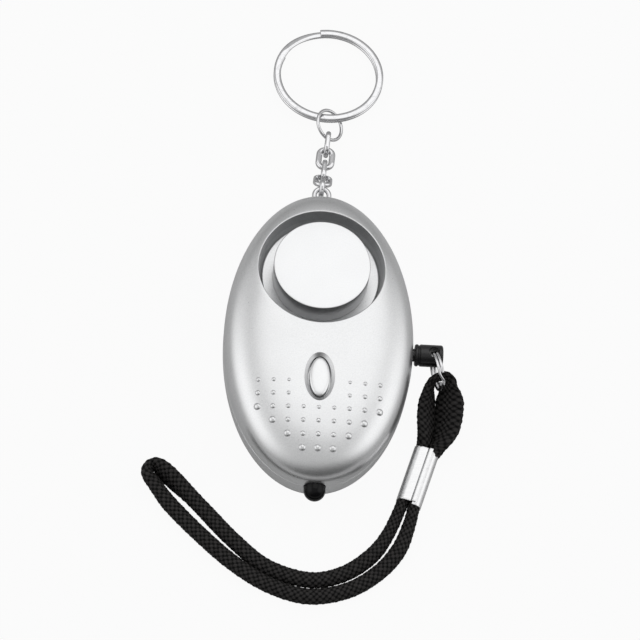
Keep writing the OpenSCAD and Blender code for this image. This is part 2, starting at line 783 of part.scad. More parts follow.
// Pin: shaft, lip, groove and rounded head turned about its axis, with a cross hole
module pull_pin() color("black") {
    edge = 0.5;
    lip = 0.7;
    groove = 0.25;
    r = pin_d / 2;
    tip = 0.6;
    difference() {
        translate([pin_x, pin_y, split_z]) rotate([0, 90, 0]) rotate_extrude() polygon(concat(
            [[0, -shaft_l], [shaft_d / 2 - tip, -shaft_l], [shaft_d / 2, -shaft_l + tip], [shaft_d / 2, 0]],
            [[r - groove, 0], [r, groove], [r, lip], [r - groove, lip + groove]],
            [[r - groove, lip + 2 * groove], [r, lip + 3 * groove]],
            [for (a = [0:15:90]) [r - edge + edge * cos(a), pin_l - edge + edge * sin(a)]],
            [[0, pin_l]]
        ));
        translate([cross_hole_x, pin_y, split_z - pin_d]) cylinder(d = cross_hole_d, h = 2 * pin_d);
    }
}

// The ring stands upright through the cross hole and leads to the strap
module pin_ring() color("lightgray") {
    translate([cross_hole_x, pin_y, split_z]) rotate(pin_ring_heading)
        translate([pin_ring_r - pin_ring_back, 0, 0]) rotate([90, 0, 0]) rotate(60)
            split_ring(pin_ring_r, pin_ring_wire, pin_ring_wire);
}

// Rolled sheet sleeve round two lanes of strap
module crimp_sleeve() color("gainsboro") {
    w = sleeve_in_w + 2 * sleeve_wall;
    h = sleeve_in_h + 2 * sleeve_wall;
    translate([sleeve_start[0] + strap_shift[0], sleeve_start[1] + strap_shift[1], sleeve_z])
        rotate(sleeve_heading) rotate([90, 0, 90]) linear_extrude(sleeve_l) difference() {
            rounded_oblong(w, h, sleeve_corner_r);
            rounded_oblong(sleeve_in_w, sleeve_in_h, sleeve_corner_r - sleeve_wall);
        }
}

// Flat rectangle with round corners, centred
module rounded_oblong(w, h, r) {
    square([w - 2 * r, h], center = true);
    square([w, h - 2 * r], center = true);
    for (x = [-1, 1], y = [-1, 1]) translate([x * (w / 2 - r), y * (h / 2 - r)]) circle(r = r);
}

// Point of the smooth curve through the route, t counted in route points
function route_at(t) =
    let (
        last = len(strap_points) - 1,
        i = min(floor(t), last - 1),
        u = t - i,
        a = strap_points[max(i - 1, 0)],
        b = strap_points[i],
        c = strap_points[i + 1],
        d = strap_points[min(i + 2, last)]
    )
    b + u / 2 * ((c - a) + u * ((2 * a - 5 * b + 4 * c - d) + u * (3 * (b - c) + d - a)));

function xyz(p) = [p[0], p[1], p[2]];

function unit(v) = v / norm(v);

// One ring of the strap: an oval that is turned about the route
function strap_ring(t) =
    let (
        p = route_at(t),
        way = unit(xyz(route_at(t + 0.05)) - xyz(route_at(t - 0.05))),
        side = unit(cross(way, [0, 0, 1])),
        up = cross(side, way),
        across = side * cos(p[5]) + up * sin(p[5]),
        through = up * cos(p[5]) - side * sin(p[5])
    )
    [
        for (j = [0:strap_sides - 1])
            let (a = 360 * (j + 0.5) / strap_sides)
            xyz(p) + across * p[3] / 2 * cos(a) + through * p[4] / 2 * sin(a)
    ];

module wrist_strap() color([0.1, 0.1, 0.1]) {
    last = len(strap_points) - 1;
    stations = [for (k = [0:2 * last]) min(max(k / 2, 0.06), last - 0.06)];
    polyhedron(
        points = [for (t = stations) each strap_ring(t)],
        faces = tube_faces(len(stations), strap_sides)
    );
}

front_shell();
back_shell();
siren_cap();
piezo_plate();
piezo_ceramic();
light_button();
switch_plunger();
tact_switch();
circuit_board();
board_screws();
siren_chip();
step_up_coil();
storage_capacitor();
board_resistors();
pin_guide();
contact_leaf_front();
contact_leaf_rear();
button_cells();
cell_contacts();
led_lamp();
case_screws();
chain_bail();
chain_link_1();
chain_link_2();
chain_link_3();
chain_link_4();
chain_link_5();
jump_ring();
key_ring();
pull_pin();
pin_ring();
crimp_sleeve();
wrist_strap();
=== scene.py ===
import json
import math

import bmesh
import bpy
from mathutils import Matrix, Vector
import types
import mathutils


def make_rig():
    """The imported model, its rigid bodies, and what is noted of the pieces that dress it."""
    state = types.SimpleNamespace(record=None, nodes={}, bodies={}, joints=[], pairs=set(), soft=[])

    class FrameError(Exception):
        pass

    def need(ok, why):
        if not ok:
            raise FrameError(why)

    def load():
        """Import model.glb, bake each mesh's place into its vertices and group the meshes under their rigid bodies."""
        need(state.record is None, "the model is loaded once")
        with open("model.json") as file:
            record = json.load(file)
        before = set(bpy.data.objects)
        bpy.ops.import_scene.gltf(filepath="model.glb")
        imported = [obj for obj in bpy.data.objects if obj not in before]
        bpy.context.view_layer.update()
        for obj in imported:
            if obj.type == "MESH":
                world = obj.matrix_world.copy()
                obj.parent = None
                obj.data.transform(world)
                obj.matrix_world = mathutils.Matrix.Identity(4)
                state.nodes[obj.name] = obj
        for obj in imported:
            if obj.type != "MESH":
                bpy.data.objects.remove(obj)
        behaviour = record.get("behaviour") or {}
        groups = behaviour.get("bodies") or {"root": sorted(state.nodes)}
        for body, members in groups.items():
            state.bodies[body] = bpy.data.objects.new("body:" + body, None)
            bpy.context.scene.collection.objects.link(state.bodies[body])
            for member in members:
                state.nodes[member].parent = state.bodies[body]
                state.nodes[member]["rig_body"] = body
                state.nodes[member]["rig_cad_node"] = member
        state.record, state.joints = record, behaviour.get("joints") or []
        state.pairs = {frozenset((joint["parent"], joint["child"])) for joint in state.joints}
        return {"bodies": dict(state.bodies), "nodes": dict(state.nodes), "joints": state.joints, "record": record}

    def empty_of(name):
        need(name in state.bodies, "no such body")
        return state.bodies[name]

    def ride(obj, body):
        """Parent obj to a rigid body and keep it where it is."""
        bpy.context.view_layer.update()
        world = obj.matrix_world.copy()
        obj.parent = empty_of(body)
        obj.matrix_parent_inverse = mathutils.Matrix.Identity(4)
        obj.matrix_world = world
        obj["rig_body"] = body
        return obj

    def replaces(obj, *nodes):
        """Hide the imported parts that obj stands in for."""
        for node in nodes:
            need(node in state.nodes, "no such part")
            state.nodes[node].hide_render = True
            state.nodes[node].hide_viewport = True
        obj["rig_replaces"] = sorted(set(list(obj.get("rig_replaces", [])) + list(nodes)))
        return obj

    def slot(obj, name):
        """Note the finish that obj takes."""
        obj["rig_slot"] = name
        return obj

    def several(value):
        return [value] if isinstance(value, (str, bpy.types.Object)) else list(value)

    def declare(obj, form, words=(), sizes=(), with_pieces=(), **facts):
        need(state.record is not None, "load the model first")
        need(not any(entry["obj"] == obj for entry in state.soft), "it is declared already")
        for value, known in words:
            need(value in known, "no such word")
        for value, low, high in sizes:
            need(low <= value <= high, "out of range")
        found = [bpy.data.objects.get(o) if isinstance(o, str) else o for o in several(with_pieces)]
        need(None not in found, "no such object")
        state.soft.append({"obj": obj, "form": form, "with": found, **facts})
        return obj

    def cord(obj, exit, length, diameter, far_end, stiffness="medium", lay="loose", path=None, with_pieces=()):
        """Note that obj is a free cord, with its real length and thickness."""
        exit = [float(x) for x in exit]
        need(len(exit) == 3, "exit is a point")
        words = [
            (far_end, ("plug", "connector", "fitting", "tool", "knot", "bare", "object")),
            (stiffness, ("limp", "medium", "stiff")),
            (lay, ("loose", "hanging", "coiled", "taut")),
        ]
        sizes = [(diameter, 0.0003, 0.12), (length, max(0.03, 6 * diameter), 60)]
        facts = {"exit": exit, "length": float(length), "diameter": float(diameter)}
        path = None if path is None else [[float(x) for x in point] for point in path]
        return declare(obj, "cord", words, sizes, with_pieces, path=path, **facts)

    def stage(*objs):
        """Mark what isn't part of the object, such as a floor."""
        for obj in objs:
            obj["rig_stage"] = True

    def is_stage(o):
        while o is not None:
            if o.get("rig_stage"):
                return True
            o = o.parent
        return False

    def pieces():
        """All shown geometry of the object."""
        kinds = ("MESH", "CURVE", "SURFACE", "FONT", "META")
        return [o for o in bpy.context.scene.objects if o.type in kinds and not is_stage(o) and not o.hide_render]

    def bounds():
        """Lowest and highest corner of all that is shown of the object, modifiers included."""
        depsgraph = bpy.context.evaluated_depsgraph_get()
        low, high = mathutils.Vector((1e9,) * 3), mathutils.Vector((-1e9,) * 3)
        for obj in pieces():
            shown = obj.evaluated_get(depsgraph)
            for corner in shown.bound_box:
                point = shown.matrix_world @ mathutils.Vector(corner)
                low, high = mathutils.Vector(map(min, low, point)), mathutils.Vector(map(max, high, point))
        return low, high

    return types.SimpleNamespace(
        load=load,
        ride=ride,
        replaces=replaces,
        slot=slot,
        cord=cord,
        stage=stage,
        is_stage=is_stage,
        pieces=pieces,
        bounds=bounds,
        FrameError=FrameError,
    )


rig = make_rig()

for leftover in list(bpy.data.objects):
    bpy.data.objects.remove(leftover, do_unlink=True)
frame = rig.load()
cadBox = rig.bounds()
nodes = frame["nodes"]
scene = bpy.context.scene
mm = 0.001
mergeDistance = 0.000001
print("stage: frame loaded,", len(nodes), "CAD nodes")


# Camera: aim is the point of the object that falls on aimPixel of a 640 by 640 picture
camera = {
    "azimuth": -7.37, "elevation": 64.35, "roll": 9.55, "distance": 0.685,
    "lens": 147.8, "sensor": 36, "aim": (0, 0, 0.011), "aimPixel": (318.13, 341.36), "picture": 640,
    "clip": (0.01, 20),
}


def placeCamera():
    turn, tilt, roll = (math.radians(camera[k]) for k in ("azimuth", "elevation", "roll"))
    forward = Vector((-math.sin(turn) * math.cos(tilt), math.cos(turn) * math.cos(tilt), -math.sin(tilt)))
    level = Vector((math.cos(turn), math.sin(turn), 0))
    upright = level.cross(forward)
    right = level * math.cos(roll) + upright * math.sin(roll)
    up = upright * math.cos(roll) - level * math.sin(roll)
    focal = camera["lens"] / camera["sensor"] * camera["picture"]
    half = camera["picture"] / 2
    across, down = camera["aimPixel"]
    ray = forward + right * ((across - half) / focal) + up * ((half - down) / focal)
    data = bpy.data.cameras.new("camera")
    data.lens, data.sensor_width = camera["lens"], camera["sensor"]
    data.clip_start, data.clip_end = camera["clip"]
    made = bpy.data.objects.new("camera", data)
    axes = Matrix((right, up, -forward)).transposed().to_4x4()
    made.matrix_world = Matrix.Translation(Vector(camera["aim"]) - ray * camera["distance"]) @ axes
    scene.collection.objects.link(made)
    scene.camera = made


placeCamera()
scene.view_settings.view_transform = "Standard"
print("stage: camera placed")


# Loops of vertices that are extruded one from another; each vertex keeps its number round the loop
def startLoop(bm, count, place):
    turn = bm.verts.layers.int.new("turn")
    made = bmesh.ops.create_circle(bm, segments=count, radius=1)["verts"]
    for v in made:
        v[turn] = round(math.atan2(v.co.y, v.co.x) / (2 * math.pi) * count) % count
    for v in made:
        v.co = place(v[turn])
    return list(bm.edges)


def growLoop(bm, edges, place):
    turn = bm.verts.layers.int["turn"]
    made = bmesh.ops.extrude_edge_only(bm, edges=edges)["geom"]
    fresh = {v for v in made if isinstance(v, bmesh.types.BMVert)}
    for v in fresh:
        v.co = place(v[turn])
    return [e for e in made if isinstance(e, bmesh.types.BMEdge) and fresh.issuperset(e.verts)]


def meshOf(bm, name):
    bmesh.ops.recalc_face_normals(bm, faces=bm.faces)
    data = bpy.data.meshes.new(name)
    bm.to_mesh(data)
    bm.free()
    made = bpy.data.objects.new(name, data)
    scene.collection.objects.link(made)
    return made


def applyModifiers(obj):
    shaped = bpy.data.meshes.new_from_object(obj.evaluated_get(bpy.context.evaluated_depsgraph_get()))
    obj.modifiers.clear()
    old, obj.data = obj.data, shaped
    bpy.data.meshes.remove(old)
    obj.data.name = obj.name


def cutWith(obj, cutter):
    cut = obj.modifiers.new("cut", "BOOLEAN")
    cut.object, cut.operation, cut.solver = cutter, "DIFFERENCE", "EXACT"
    applyModifiers(obj)


def shadeSmooth(obj, angle):
    obj.data.shade_smooth()
    obj.data.set_sharp_from_angle(angle=math.radians(angle))


def markFaces(obj, name, share):
    # A value on each face that the finishes read
    mark = obj.data.attributes.new(name, "FLOAT", "FACE")
    mark.data.foreach_set("value", [share(face) for face in obj.data.polygons])


def settle(obj, body, slot, *stoodFor, angle=35):
    shadeSmooth(obj, angle)
    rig.ride(obj, body)
    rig.replaces(obj, *stoodFor)
    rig.slot(obj, slot)


# Wrist strap: points of its middle line, then its width, its thickness and how far it is turned on edge;
# tuck and swell are how much further the lower edge and the inner side reach at some of them
strap = {
    "route": [
        (26.05, -32, 2.5, 4, 2.95, 90), (27.9, -26.08, 2.5, 4, 2.95, 90), (28.26, -23.55, 3.5, 4.8, 2.6, 108),
        (28.6, -20.11, 4.6, 5.9, 2.3, 126), (28.75, -16.63, 5.6, 6.6, 2.1, 131),
        (28.84, -12.9, 6.8, 6.4, 1.9, 123), (29.22, -10.23, 8.2, 5, 1.7, 103),
        (30.44, -8.55, 9.3, 4.3, 1.6, 92), (32.72, -7.52, 9.6, 4.4, 1.7, 95),
        (34.5, -8.44, 9.25, 5, 1.8, 110),
        (34.85, -10.6, 8, 6.8, 1.9, 130), (35, -12.89, 6.9, 8.2, 2, 142), (35, -15.18, 5.9, 8.4, 2, 146),
        (34.75, -18.07, 5, 8.4, 2, 146), (34.2, -21.01, 4.3, 8.2, 2.1, 143),
        (33.45, -23.68, 3.7, 6.8, 2.3, 132), (32.52, -25.7, 3, 5, 2.7, 108),
        (30.25, -28.81, 2.5, 4, 2.95, 90),
        (28.22, -35.3, 2.5, 4, 2.95, 90), (26.36, -41.21, 2.5, 4, 2.95, 90), (25.1, -46.5, 2.1, 3.9, 3.3, 90),
        (22.45, -53.5, 2, 3.9, 4, 90), (17.4, -59.8, 2, 3.9, 4, 90), (9.5, -65, 2, 3.9, 4, 90),
        (-0.5, -67, 2, 3.9, 4, 90), (-10.5, -64.4, 2, 3.9, 4, 90), (-19.9, -58.8, 2, 3.9, 4, 90),
        (-28.9, -51.2, 2, 3.9, 4, 90), (-36.3, -44, 2.12, 3.9, 4, 90), (-40.5, -39, 2.35, 4.8, 3.1, 114),
        (-42.7, -35.9, 2.5, 5, 2.4, 114), (-41.7, -33.5, 2.45, 4.8, 2.1, 108),
        (-38.9, -33.9, 2.5, 5, 2.4, 114),
        (-34.3, -38, 2.35, 4.8, 3.1, 112), (-27.2, -45.5, 2.12, 3.9, 4, 90), (-19.7, -53, 2, 3.9, 4, 90),
        (-11.2, -59.6, 2, 3.9, 4, 90), (-0.6, -62.6, 2, 3.9, 4, 90), (8, -60.8, 2, 3.9, 4, 90),
        (15.2, -55.7, 2, 3.9, 4, 90), (19.75, -49.2, 2.1, 3.9, 3.3, 90), (23.59, -39.82, 2.5, 4, 2.95, 90),
        (25.54, -33.62, 2.5, 4, 2.95, 90),
    ],
    "tuck": {
        2: 1.6, 3: 1.2, 4: 0.85, 5: 0.9, 6: 0.8, 15: 0.7, 16: 0.9, 29: 1.3, 30: 1.6, 32: 1.6, 33: 1.3,
    },
    "swell": {
        2: 0.8, 3: 0.5, 4: 0.2, 5: 0.5, 6: 0.5, 11: 0.3, 12: 0.4, 15: 0.6, 16: 1.3, 17: 0.3,
        29: 0.4, 30: 0.5, 32: 0.5, 33: 0.4,
    },
    "diameter": 3.8, "length": 257.8, "rowSteps": 60, "ringStep": 0.25, "look": 2, "sides": 90,
    "pathEvery": 4, "tableGap": 0.02, "carriers": 8, "lay": 12.6, "lump": 0.54, "broad": 0.61, "long": 0.79,
    "uneven": 0.2, "wobbleAlong": 5.1, "wobbleRound": 2.3, "proud": 0.16,
}


def routeAt(route, t):
    # A smooth curve through the rows
    last = len(route) - 1
    row = min(int(t), last - 1)
    u = t - row
    a, b, c, d = (Vector(route[max(0, min(last, k))]) for k in range(row - 1, row + 3))
    return b + ((c - a) + ((2 * a - 5 * b + 4 * c - d) + (3 * (b - c) + d - a) * u) * u) * (u / 2)


def walkRoute(route, step):
    # Stops at even steps along the curve, and its length
    fineness = strap["rowSteps"]
    fine = [routeAt(route, k / fineness) for k in range(fineness * (len(route) - 1) + 1)]
    run = [0.0]
    for a, b in zip(fine, fine[1:]):
        run.append(run[-1] + (b - a).to_3d().length)
    count = round(run[-1] / step)
    stops, k = [], 0
    for n in range(count + 1):
        target = run[-1] * n / count
        while k < len(run) - 2 and run[k + 1] < target:
            k += 1
        stops.append(fine[k].lerp(fine[k + 1], (target - run[k]) / (run[k + 1] - run[k])))
    return stops, run[-1]


def braidHeight(way, along):
    # Two families of strands cross; at each crossing the upper one shows as a long lump
    first = strap["carriers"] * (way - along / strap["lay"])
    second = strap["carriers"] * (way + along / strap["lay"])
    highest = 0
    for m in (math.floor(first), math.floor(first) + 1):
        for n in (math.floor(second), math.floor(second) + 1):
            spans = (strap["broad"], strap["long"]) if (m + n) % 2 else (strap["long"], strap["broad"])
            off = ((first - m) / spans[0]) ** 2 + ((second - n) / spans[1]) ** 2
            placeRound = (m + n) % (2 * strap["carriers"])
            wobble = math.sin(strap["wobbleAlong"] * (m - n) + strap["wobbleRound"] * placeRound)
            highest = max(highest, 1 - strap["uneven"] * (1 + wobble) / 2 - off)
    return strap["lump"] * (math.sqrt(highest) - 1)


def makeStrap():
    rows = [
        (*row, strap["tuck"].get(k, 0), strap["swell"].get(k, 0)) for k, row in enumerate(strap["route"])
    ]
    stops, run = walkRoute(rows, strap["ringStep"])
    line = [p.to_3d() for p in stops]
    last, look = len(stops) - 1, strap["look"]
    sections = []
    for n, stop in enumerate(stops):
        way = (line[min(n + look, last)] - line[max(n - look, 0)]).normalized()
        side = way.cross(Vector((0, 0, 1))).normalized()
        up = side.cross(way)
        wide, thin, turn, tuck, swell = stop[3:]
        cosine, sine = math.cos(math.radians(turn)), math.sin(math.radians(turn))
        across, through = side * cosine + up * sine, up * cosine - side * sine
        sections.append((across, through, wide / 2, thin / 2, max(0, tuck), max(0, swell)))
    bm = bmesh.new()
    bmesh.ops.create_grid(bm, x_segments=last, y_segments=strap["sides"], size=1)
    crevice = bm.verts.layers.float.new("crevice")
    for v in bm.verts:
        n, share = round((v.co.x + 1) / 2 * last), (v.co.y + 1) / 2
        across, through, wide, thin, tuck, swell = sections[n]
        evened = (wide - thin) / (wide + thin) / 2  # spreads the points evenly round a flat section
        a = 2 * math.pi * share + evened * math.sin(4 * math.pi * share)
        relief = braidHeight(share, run * n / last)
        wide += tuck if math.cos(a) < 0 else 0
        thin += swell if math.sin(a) < 0 else 0
        p = line[n] + across * ((wide + strap["proud"] + relief) * math.cos(a))
        p += through * ((thin + strap["proud"] + relief) * math.sin(a))
        p.z = max(p.z, strap["tableGap"])
        v.co = p * mm
        # Painted shade: how deep the point lies between the lumps, which the braid's finish paints darker
        v[crevice] = min(1, -relief / strap["lump"])
    bmesh.ops.remove_doubles(bm, verts=bm.verts, dist=mergeDistance)
    bmesh.ops.holes_fill(bm, edges=[e for e in bm.edges if e.is_boundary])
    obj = meshOf(bm, "wristStrap")
    settle(obj, "strap", "strap_braid", "wrist_strap", angle=80)
    return obj, [p * mm for p in line[::strap["pathEvery"]]] + [line[-1] * mm]


wristStrap, strapLine = makeStrap()
print("stage: strap braided,", len(wristStrap.data.polygons), "faces")


# Crimp sleeve: a sheet rolled round the strap, one edge lapped over the other
sleeve = {
    "start": (29.45, -26.25, 2.46), "heading": 252.6, "length": 15.6, "width": 6.3, "height": 4.49,
    "corner": 1.7, "sheet": 0.4, "seam": 0.75, "lap": 0.8, "ramp": 0.5, "skew": -0.75,
    "lapLift": 1.05, "around": 150, "along": 24, "edge": 0.07, "edgeSteps": 2, "edgeAngle": 50,
}


def oblongAt(w, h, r, distance):
    # Point and outward direction on a rounded oblong, from the middle of its top, clockwise
    sides = [w / 2 - r, h - 2 * r, w - 2 * r, h - 2 * r, w / 2 - r]
    starts = [(0, h / 2), (w / 2, h / 2 - r), (w / 2 - r, -h / 2), (-w / 2, r - h / 2), (r - w / 2, h / 2)]
    angle, arc = 90, math.pi / 2 * r
    distance %= sum(sides) + 4 * arc
    for k, (length, start) in enumerate(zip(sides, starts)):
        heading = math.radians(angle - 90)
        out = Vector((math.cos(math.radians(angle)), math.sin(math.radians(angle))))
        ahead = Vector((math.cos(heading), math.sin(heading)))
        if distance <= length or k == 4:
            return Vector(start) + ahead * distance, out
        distance -= length
        if distance <= arc:
            centre = Vector(start) + ahead * length - out * r
            turned = math.radians(angle) - distance / r
            out = Vector((math.cos(turned), math.sin(turned)))
            return centre + out * r, out
        distance -= arc
        angle -= 90


def makeSleeve():
    heading = math.radians(sleeve["heading"])
    along = Vector((math.cos(heading), math.sin(heading), 0))
    side = Vector((-math.sin(heading), math.cos(heading), 0))
    whole = 2 * (sleeve["width"] + sleeve["height"] - 4 * sleeve["corner"]) + 2 * math.pi * sleeve["corner"]
    bm = bmesh.new()
    bmesh.ops.create_grid(bm, x_segments=sleeve["along"], y_segments=sleeve["around"], size=1)
    for v in bm.verts:
        t, q = (v.co.x + 1) / 2, (v.co.y + 1) / 2
        distance = sleeve["seam"] + q * (whole + sleeve["lap"])
        point, out = oblongAt(sleeve["width"], sleeve["height"], sleeve["corner"], distance)
        over = max(0, min(1, (distance - sleeve["seam"] - whole + sleeve["ramp"]) / sleeve["ramp"]))
        point = point + out * (over * over * (3 - 2 * over) * sleeve["sheet"] * sleeve["lapLift"])
        reach = t * sleeve["length"] + sleeve["skew"] * (q - 0.5)
        v.co = (Vector(sleeve["start"]) + along * reach + side * point.x + Vector((0, 0, point.y))) * mm
    obj = meshOf(bm, "crimpSleeve")
    sheet = obj.modifiers.new("sheet", "SOLIDIFY")
    sheet.thickness, sheet.offset, sheet.use_even_offset = sleeve["sheet"] * mm, 0, True
    edge = obj.modifiers.new("edge", "BEVEL")
    edge.width, edge.segments = sleeve["edge"] * mm, sleeve["edgeSteps"]
    edge.limit_method, edge.angle_limit = "ANGLE", math.radians(sleeve["edgeAngle"])
    applyModifiers(obj)
    settle(obj, "strap", "sleeve_aluminium", "crimp_sleeve")
    return obj


crimpSleeve = makeSleeve()
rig.cord(
    wristStrap, exit=strapLine[0], length=strap["length"] * mm, diameter=strap["diameter"] * mm,
    far_end="object", stiffness="limp", lay="loose", path=strapLine, with_pieces=[crimpSleeve],
)
print("stage: sleeve rolled")


# Case: the egg's half sizes, its taper and the superellipses that dome the two shells
case = {
    "halfWide": 24.7, "halfLong": 41, "egg": 0.02, "split": 11, "frontHigh": 10.6, "backHigh": 11.4,
    "frontFull": 3.5, "backFull": 4.6, "wall": 1.8, "seam": 0.08, "faceGap": 0.02, "turns": 192,
    "domeRings": 34, "domeCrowd": 3.4, "underRings": 8, "underCrowd": 3,
    "sideRings": 24, "hollowRings": 8, "hollowSweep": 80, "halvings": 50, "probe": 0.1,
}
siren = {
    "y": 17.2, "rim": 16.5, "floor": 15.55, "floorZ": 13.7, "floorInner": 0.7, "port": 2.5, "wall": 1.4,
    "wallMid": 2, "slab": 0.5, "rimRound": 0.3, "footRound": 0.5,
    "cap": 12.6, "capTop": 21.4, "capInner": 0.5, "capWall": 1.4, "capRound": 0.25, "capTurns": 144,
    "slot": 0.12, "feet": 3, "footTurn": 14, "footSteps": 5, "footInset": 0.01, "footBite": 0.05,
}
button = {
    "y": -14.6, "wide": 5.2, "long": 10.7, "gap": 0.35, "proud": 0.15,
    "flange": 1.1, "flangeThick": 0.7, "flangeDrop": 2.25, "turns": 96,
}
dots = {
    "pitchX": 3.9, "pitchY": 3.55, "firstY": -23, "diameter": 1.9, "high": 0.45, "columns": 4, "rows": 3,
    "tipRow": 4, "rowsAbove": 2, "clearColumns": 1, "upperShare": 0.82, "shareStep": 0.08,
    "around": 12, "rings": 6,
}
bores = {
    "pinY": -2.6, "pin": 3.6, "pinDeep": 12, "lamp": 5.8, "lampDeep": 10,
    "bailX": 1.95, "bail": 1.4, "bailDeep": 10, "sides": 40,
}
screws = {"spots": [(18.8, 7), (-18.8, 7), (9.5, -31), (-9.5, -31)], "well": 5, "wellDeep": 8}
# Painted shade: how strongly the recess wall, the bevel round the button and the cap's side are painted darker, and
# which slopes and reach get it
paintedShade = {
    "wall": 0.16, "wallLean": 0.3, "bevel": 0.24, "bevelLean": 0.2, "bevelReach": 0.98, "bevelDeep": 2,
    "cap": 0.6, "capLean": 0.5,
}
quarterTurn = [math.radians(18 * step) for step in range(6)]


def domeZ(x, y, inset):
    # Height of the front dome, or of the hollow that lies a wall inside it
    wide, long, high = case["halfWide"] - inset, case["halfLong"] - inset, case["frontHigh"] - inset
    rho = min(1, math.hypot(x / (wide * (1 - case["egg"] * y / long)), y / long))
    return case["split"] + high * (1 - rho ** case["frontFull"]) ** (1 / case["frontFull"])


def frontZ(x, y):
    return domeZ(x, y, 0)


def frontFall(x, y):
    # How far the dome falls towards +X and +Y over twice the probe
    probe = case["probe"]
    return frontZ(x - probe, y) - frontZ(x + probe, y), frontZ(x, y - probe) - frontZ(x, y + probe)


def outlineFrom(y, angle, inset):
    # Where a ray from (0, y) meets the outline of the case, or of the hollow inside it
    wide, long = case["halfWide"] - inset, case["halfLong"] - inset
    start, way = Vector((0, y)), Vector((math.cos(angle), math.sin(angle)))
    near, far = 0.0, 2 * long
    for _ in range(case["halvings"]):
        middle = (near + far) / 2
        p = start + way * middle
        inside = math.hypot(p.x / (wide * (1 - case["egg"] * p.y / long)), p.y / long) < 1
        near, far = (middle, far) if inside else (near, middle)
    return start + way * near


def makeFront():
    count = case["turns"]
    angles = [2 * math.pi * k / count for k in range(count)]
    wayOf = [Vector((math.cos(a), math.sin(a))) for a in angles]
    edgeOf = [outlineFrom(siren["y"], a, 0) for a in angles]
    insideOf = [outlineFrom(siren["y"], a, case["wall"]) for a in angles]

    def ring(r, z):
        return lambda k: Vector((wayOf[k].x * r, siren["y"] + wayOf[k].y * r, z)) * mm

    def rimRing(r, drop):
        def at(k):
            x, y = wayOf[k].x * r, siren["y"] + wayOf[k].y * r
            return Vector((x, y, frontZ(x, y) - drop)) * mm
        return at

    def topRing(share):
        def at(k):
            inner = Vector((0, siren["y"])) + wayOf[k] * (siren["rim"] + siren["rimRound"])
            p = inner.lerp(edgeOf[k], share)
            return Vector((p.x, p.y, frontZ(p.x, p.y))) * mm
        return at

    def outlineRing(points, inset, z):
        def at(k):
            p = points[k] - wayOf[k] * inset
            return Vector((p.x, p.y, z)) * mm
        return at

    def underRing(share):
        def at(k):
            inner = Vector((0, siren["y"])) + wayOf[k] * (siren["rim"] + siren["wall"])
            p = insideOf[k].lerp(inner, share)
            return Vector((p.x, p.y, domeZ(p.x, p.y, case["wall"]))) * mm
        return at

    foot, lip = siren["footRound"], siren["rimRound"]
    rings = [ring(siren["floor"] * siren["floorInner"], siren["floorZ"])]
    for a in quarterTurn:
        reach = siren["floor"] - foot + foot * math.sin(a)
        rings.append(ring(reach, siren["floorZ"] + foot - foot * math.cos(a)))
    rings.append(ring((siren["floor"] + siren["rim"]) / 2, siren["floorZ"] + siren["wallMid"]))
    for a in quarterTurn:
        rings.append(rimRing(siren["rim"] + lip - lip * math.cos(a), lip - lip * math.sin(a)))
    for t in range(1, case["domeRings"]):
        rings.append(topRing(1 - (1 - t / case["domeRings"]) ** case["domeCrowd"]))
    rings.append(outlineRing(edgeOf, 0, case["split"] + case["seam"]))
    rings.append(outlineRing(edgeOf, case["seam"], case["split"] + case["faceGap"]))
    rings.append(outlineRing(insideOf, 0, case["split"] + case["faceGap"]))
    for t in range(1, case["underRings"] + 1):
        rings.append(underRing(1 - (1 - t / case["underRings"]) ** case["underCrowd"]))
    rings.append(ring(siren["floor"] + siren["wall"], siren["floorZ"] - siren["slab"]))
    rings.append(ring(siren["port"], siren["floorZ"] - siren["slab"]))

    bm = bmesh.new()
    first = edges = startLoop(bm, count, ring(siren["port"], siren["floorZ"]))
    for place in rings:
        edges = growLoop(bm, edges, place)
    bmesh.ops.bridge_loops(bm, edges=first + edges)
    return meshOf(bm, "frontShell")


def ovalLoft(name, count, y, levels, base):
    # Oval rings joined to a solid; base gives the height that the levels are measured from
    def ring(wide, long, z):
        def at(k):
            a = 2 * math.pi * k / count
            x, far = wide / 2 * math.cos(a), y + long / 2 * math.sin(a)
            return Vector((x, far, base(x, far) + z)) * mm
        return at

    bm = bmesh.new()
    first = edges = startLoop(bm, count, ring(*levels[0]))
    for level in levels[1:]:
        edges = growLoop(bm, edges, ring(*level))
    bmesh.ops.contextual_create(bm, geom=first)
    bmesh.ops.contextual_create(bm, geom=edges)
    return meshOf(bm, name)


def addDots(obj):
    # The rows end on a curve; the lowest dot of each column is the largest, and those above fade
    bm = bmesh.new()
    bm.from_mesh(obj.data)
    for column in range(-dots["columns"], dots["columns"] + 1):
        lowest = min(dots["rows"], dots["tipRow"] - abs(column))
        for row in range(-dots["rowsAbove"], lowest + 1):
            if row < 0 and abs(column) <= dots["clearColumns"]:
                continue
            below = lowest - row
            share = 1 if below == 0 else dots["upperShare"] - dots["shareStep"] * below
            x, y = column * dots["pitchX"], dots["firstY"] - row * dots["pitchY"]
            upright = Vector((*frontFall(x, y), 2 * case["probe"]))
            lean = upright.to_track_quat("Z", "Y").to_matrix().to_4x4()
            half, high = dots["diameter"] / 2 * share * mm, dots["high"] * share * mm
            spot = Matrix.Translation(Vector((x, y, frontZ(x, y))) * mm) @ lean
            bmesh.ops.create_uvsphere(
                bm, u_segments=dots["around"], v_segments=dots["rings"], radius=1,
                matrix=spot @ Matrix.Diagonal((half, half, high, 1)),
            )
    bm.to_mesh(obj.data)
    bm.free()


def drill(name, rods):
    # One cutter of several rods: centre, axis, radius and length
    bm = bmesh.new()
    for centre, axis, radius, length in rods:
        lean = Vector(axis).to_track_quat("Z", "Y").to_matrix().to_4x4()
        bmesh.ops.create_cone(
            bm, cap_ends=True, segments=bores["sides"],
            radius1=radius * mm, radius2=radius * mm, depth=length * mm,
            matrix=Matrix.Translation(Vector(centre) * mm) @ lean,
        )
    return meshOf(bm, name)


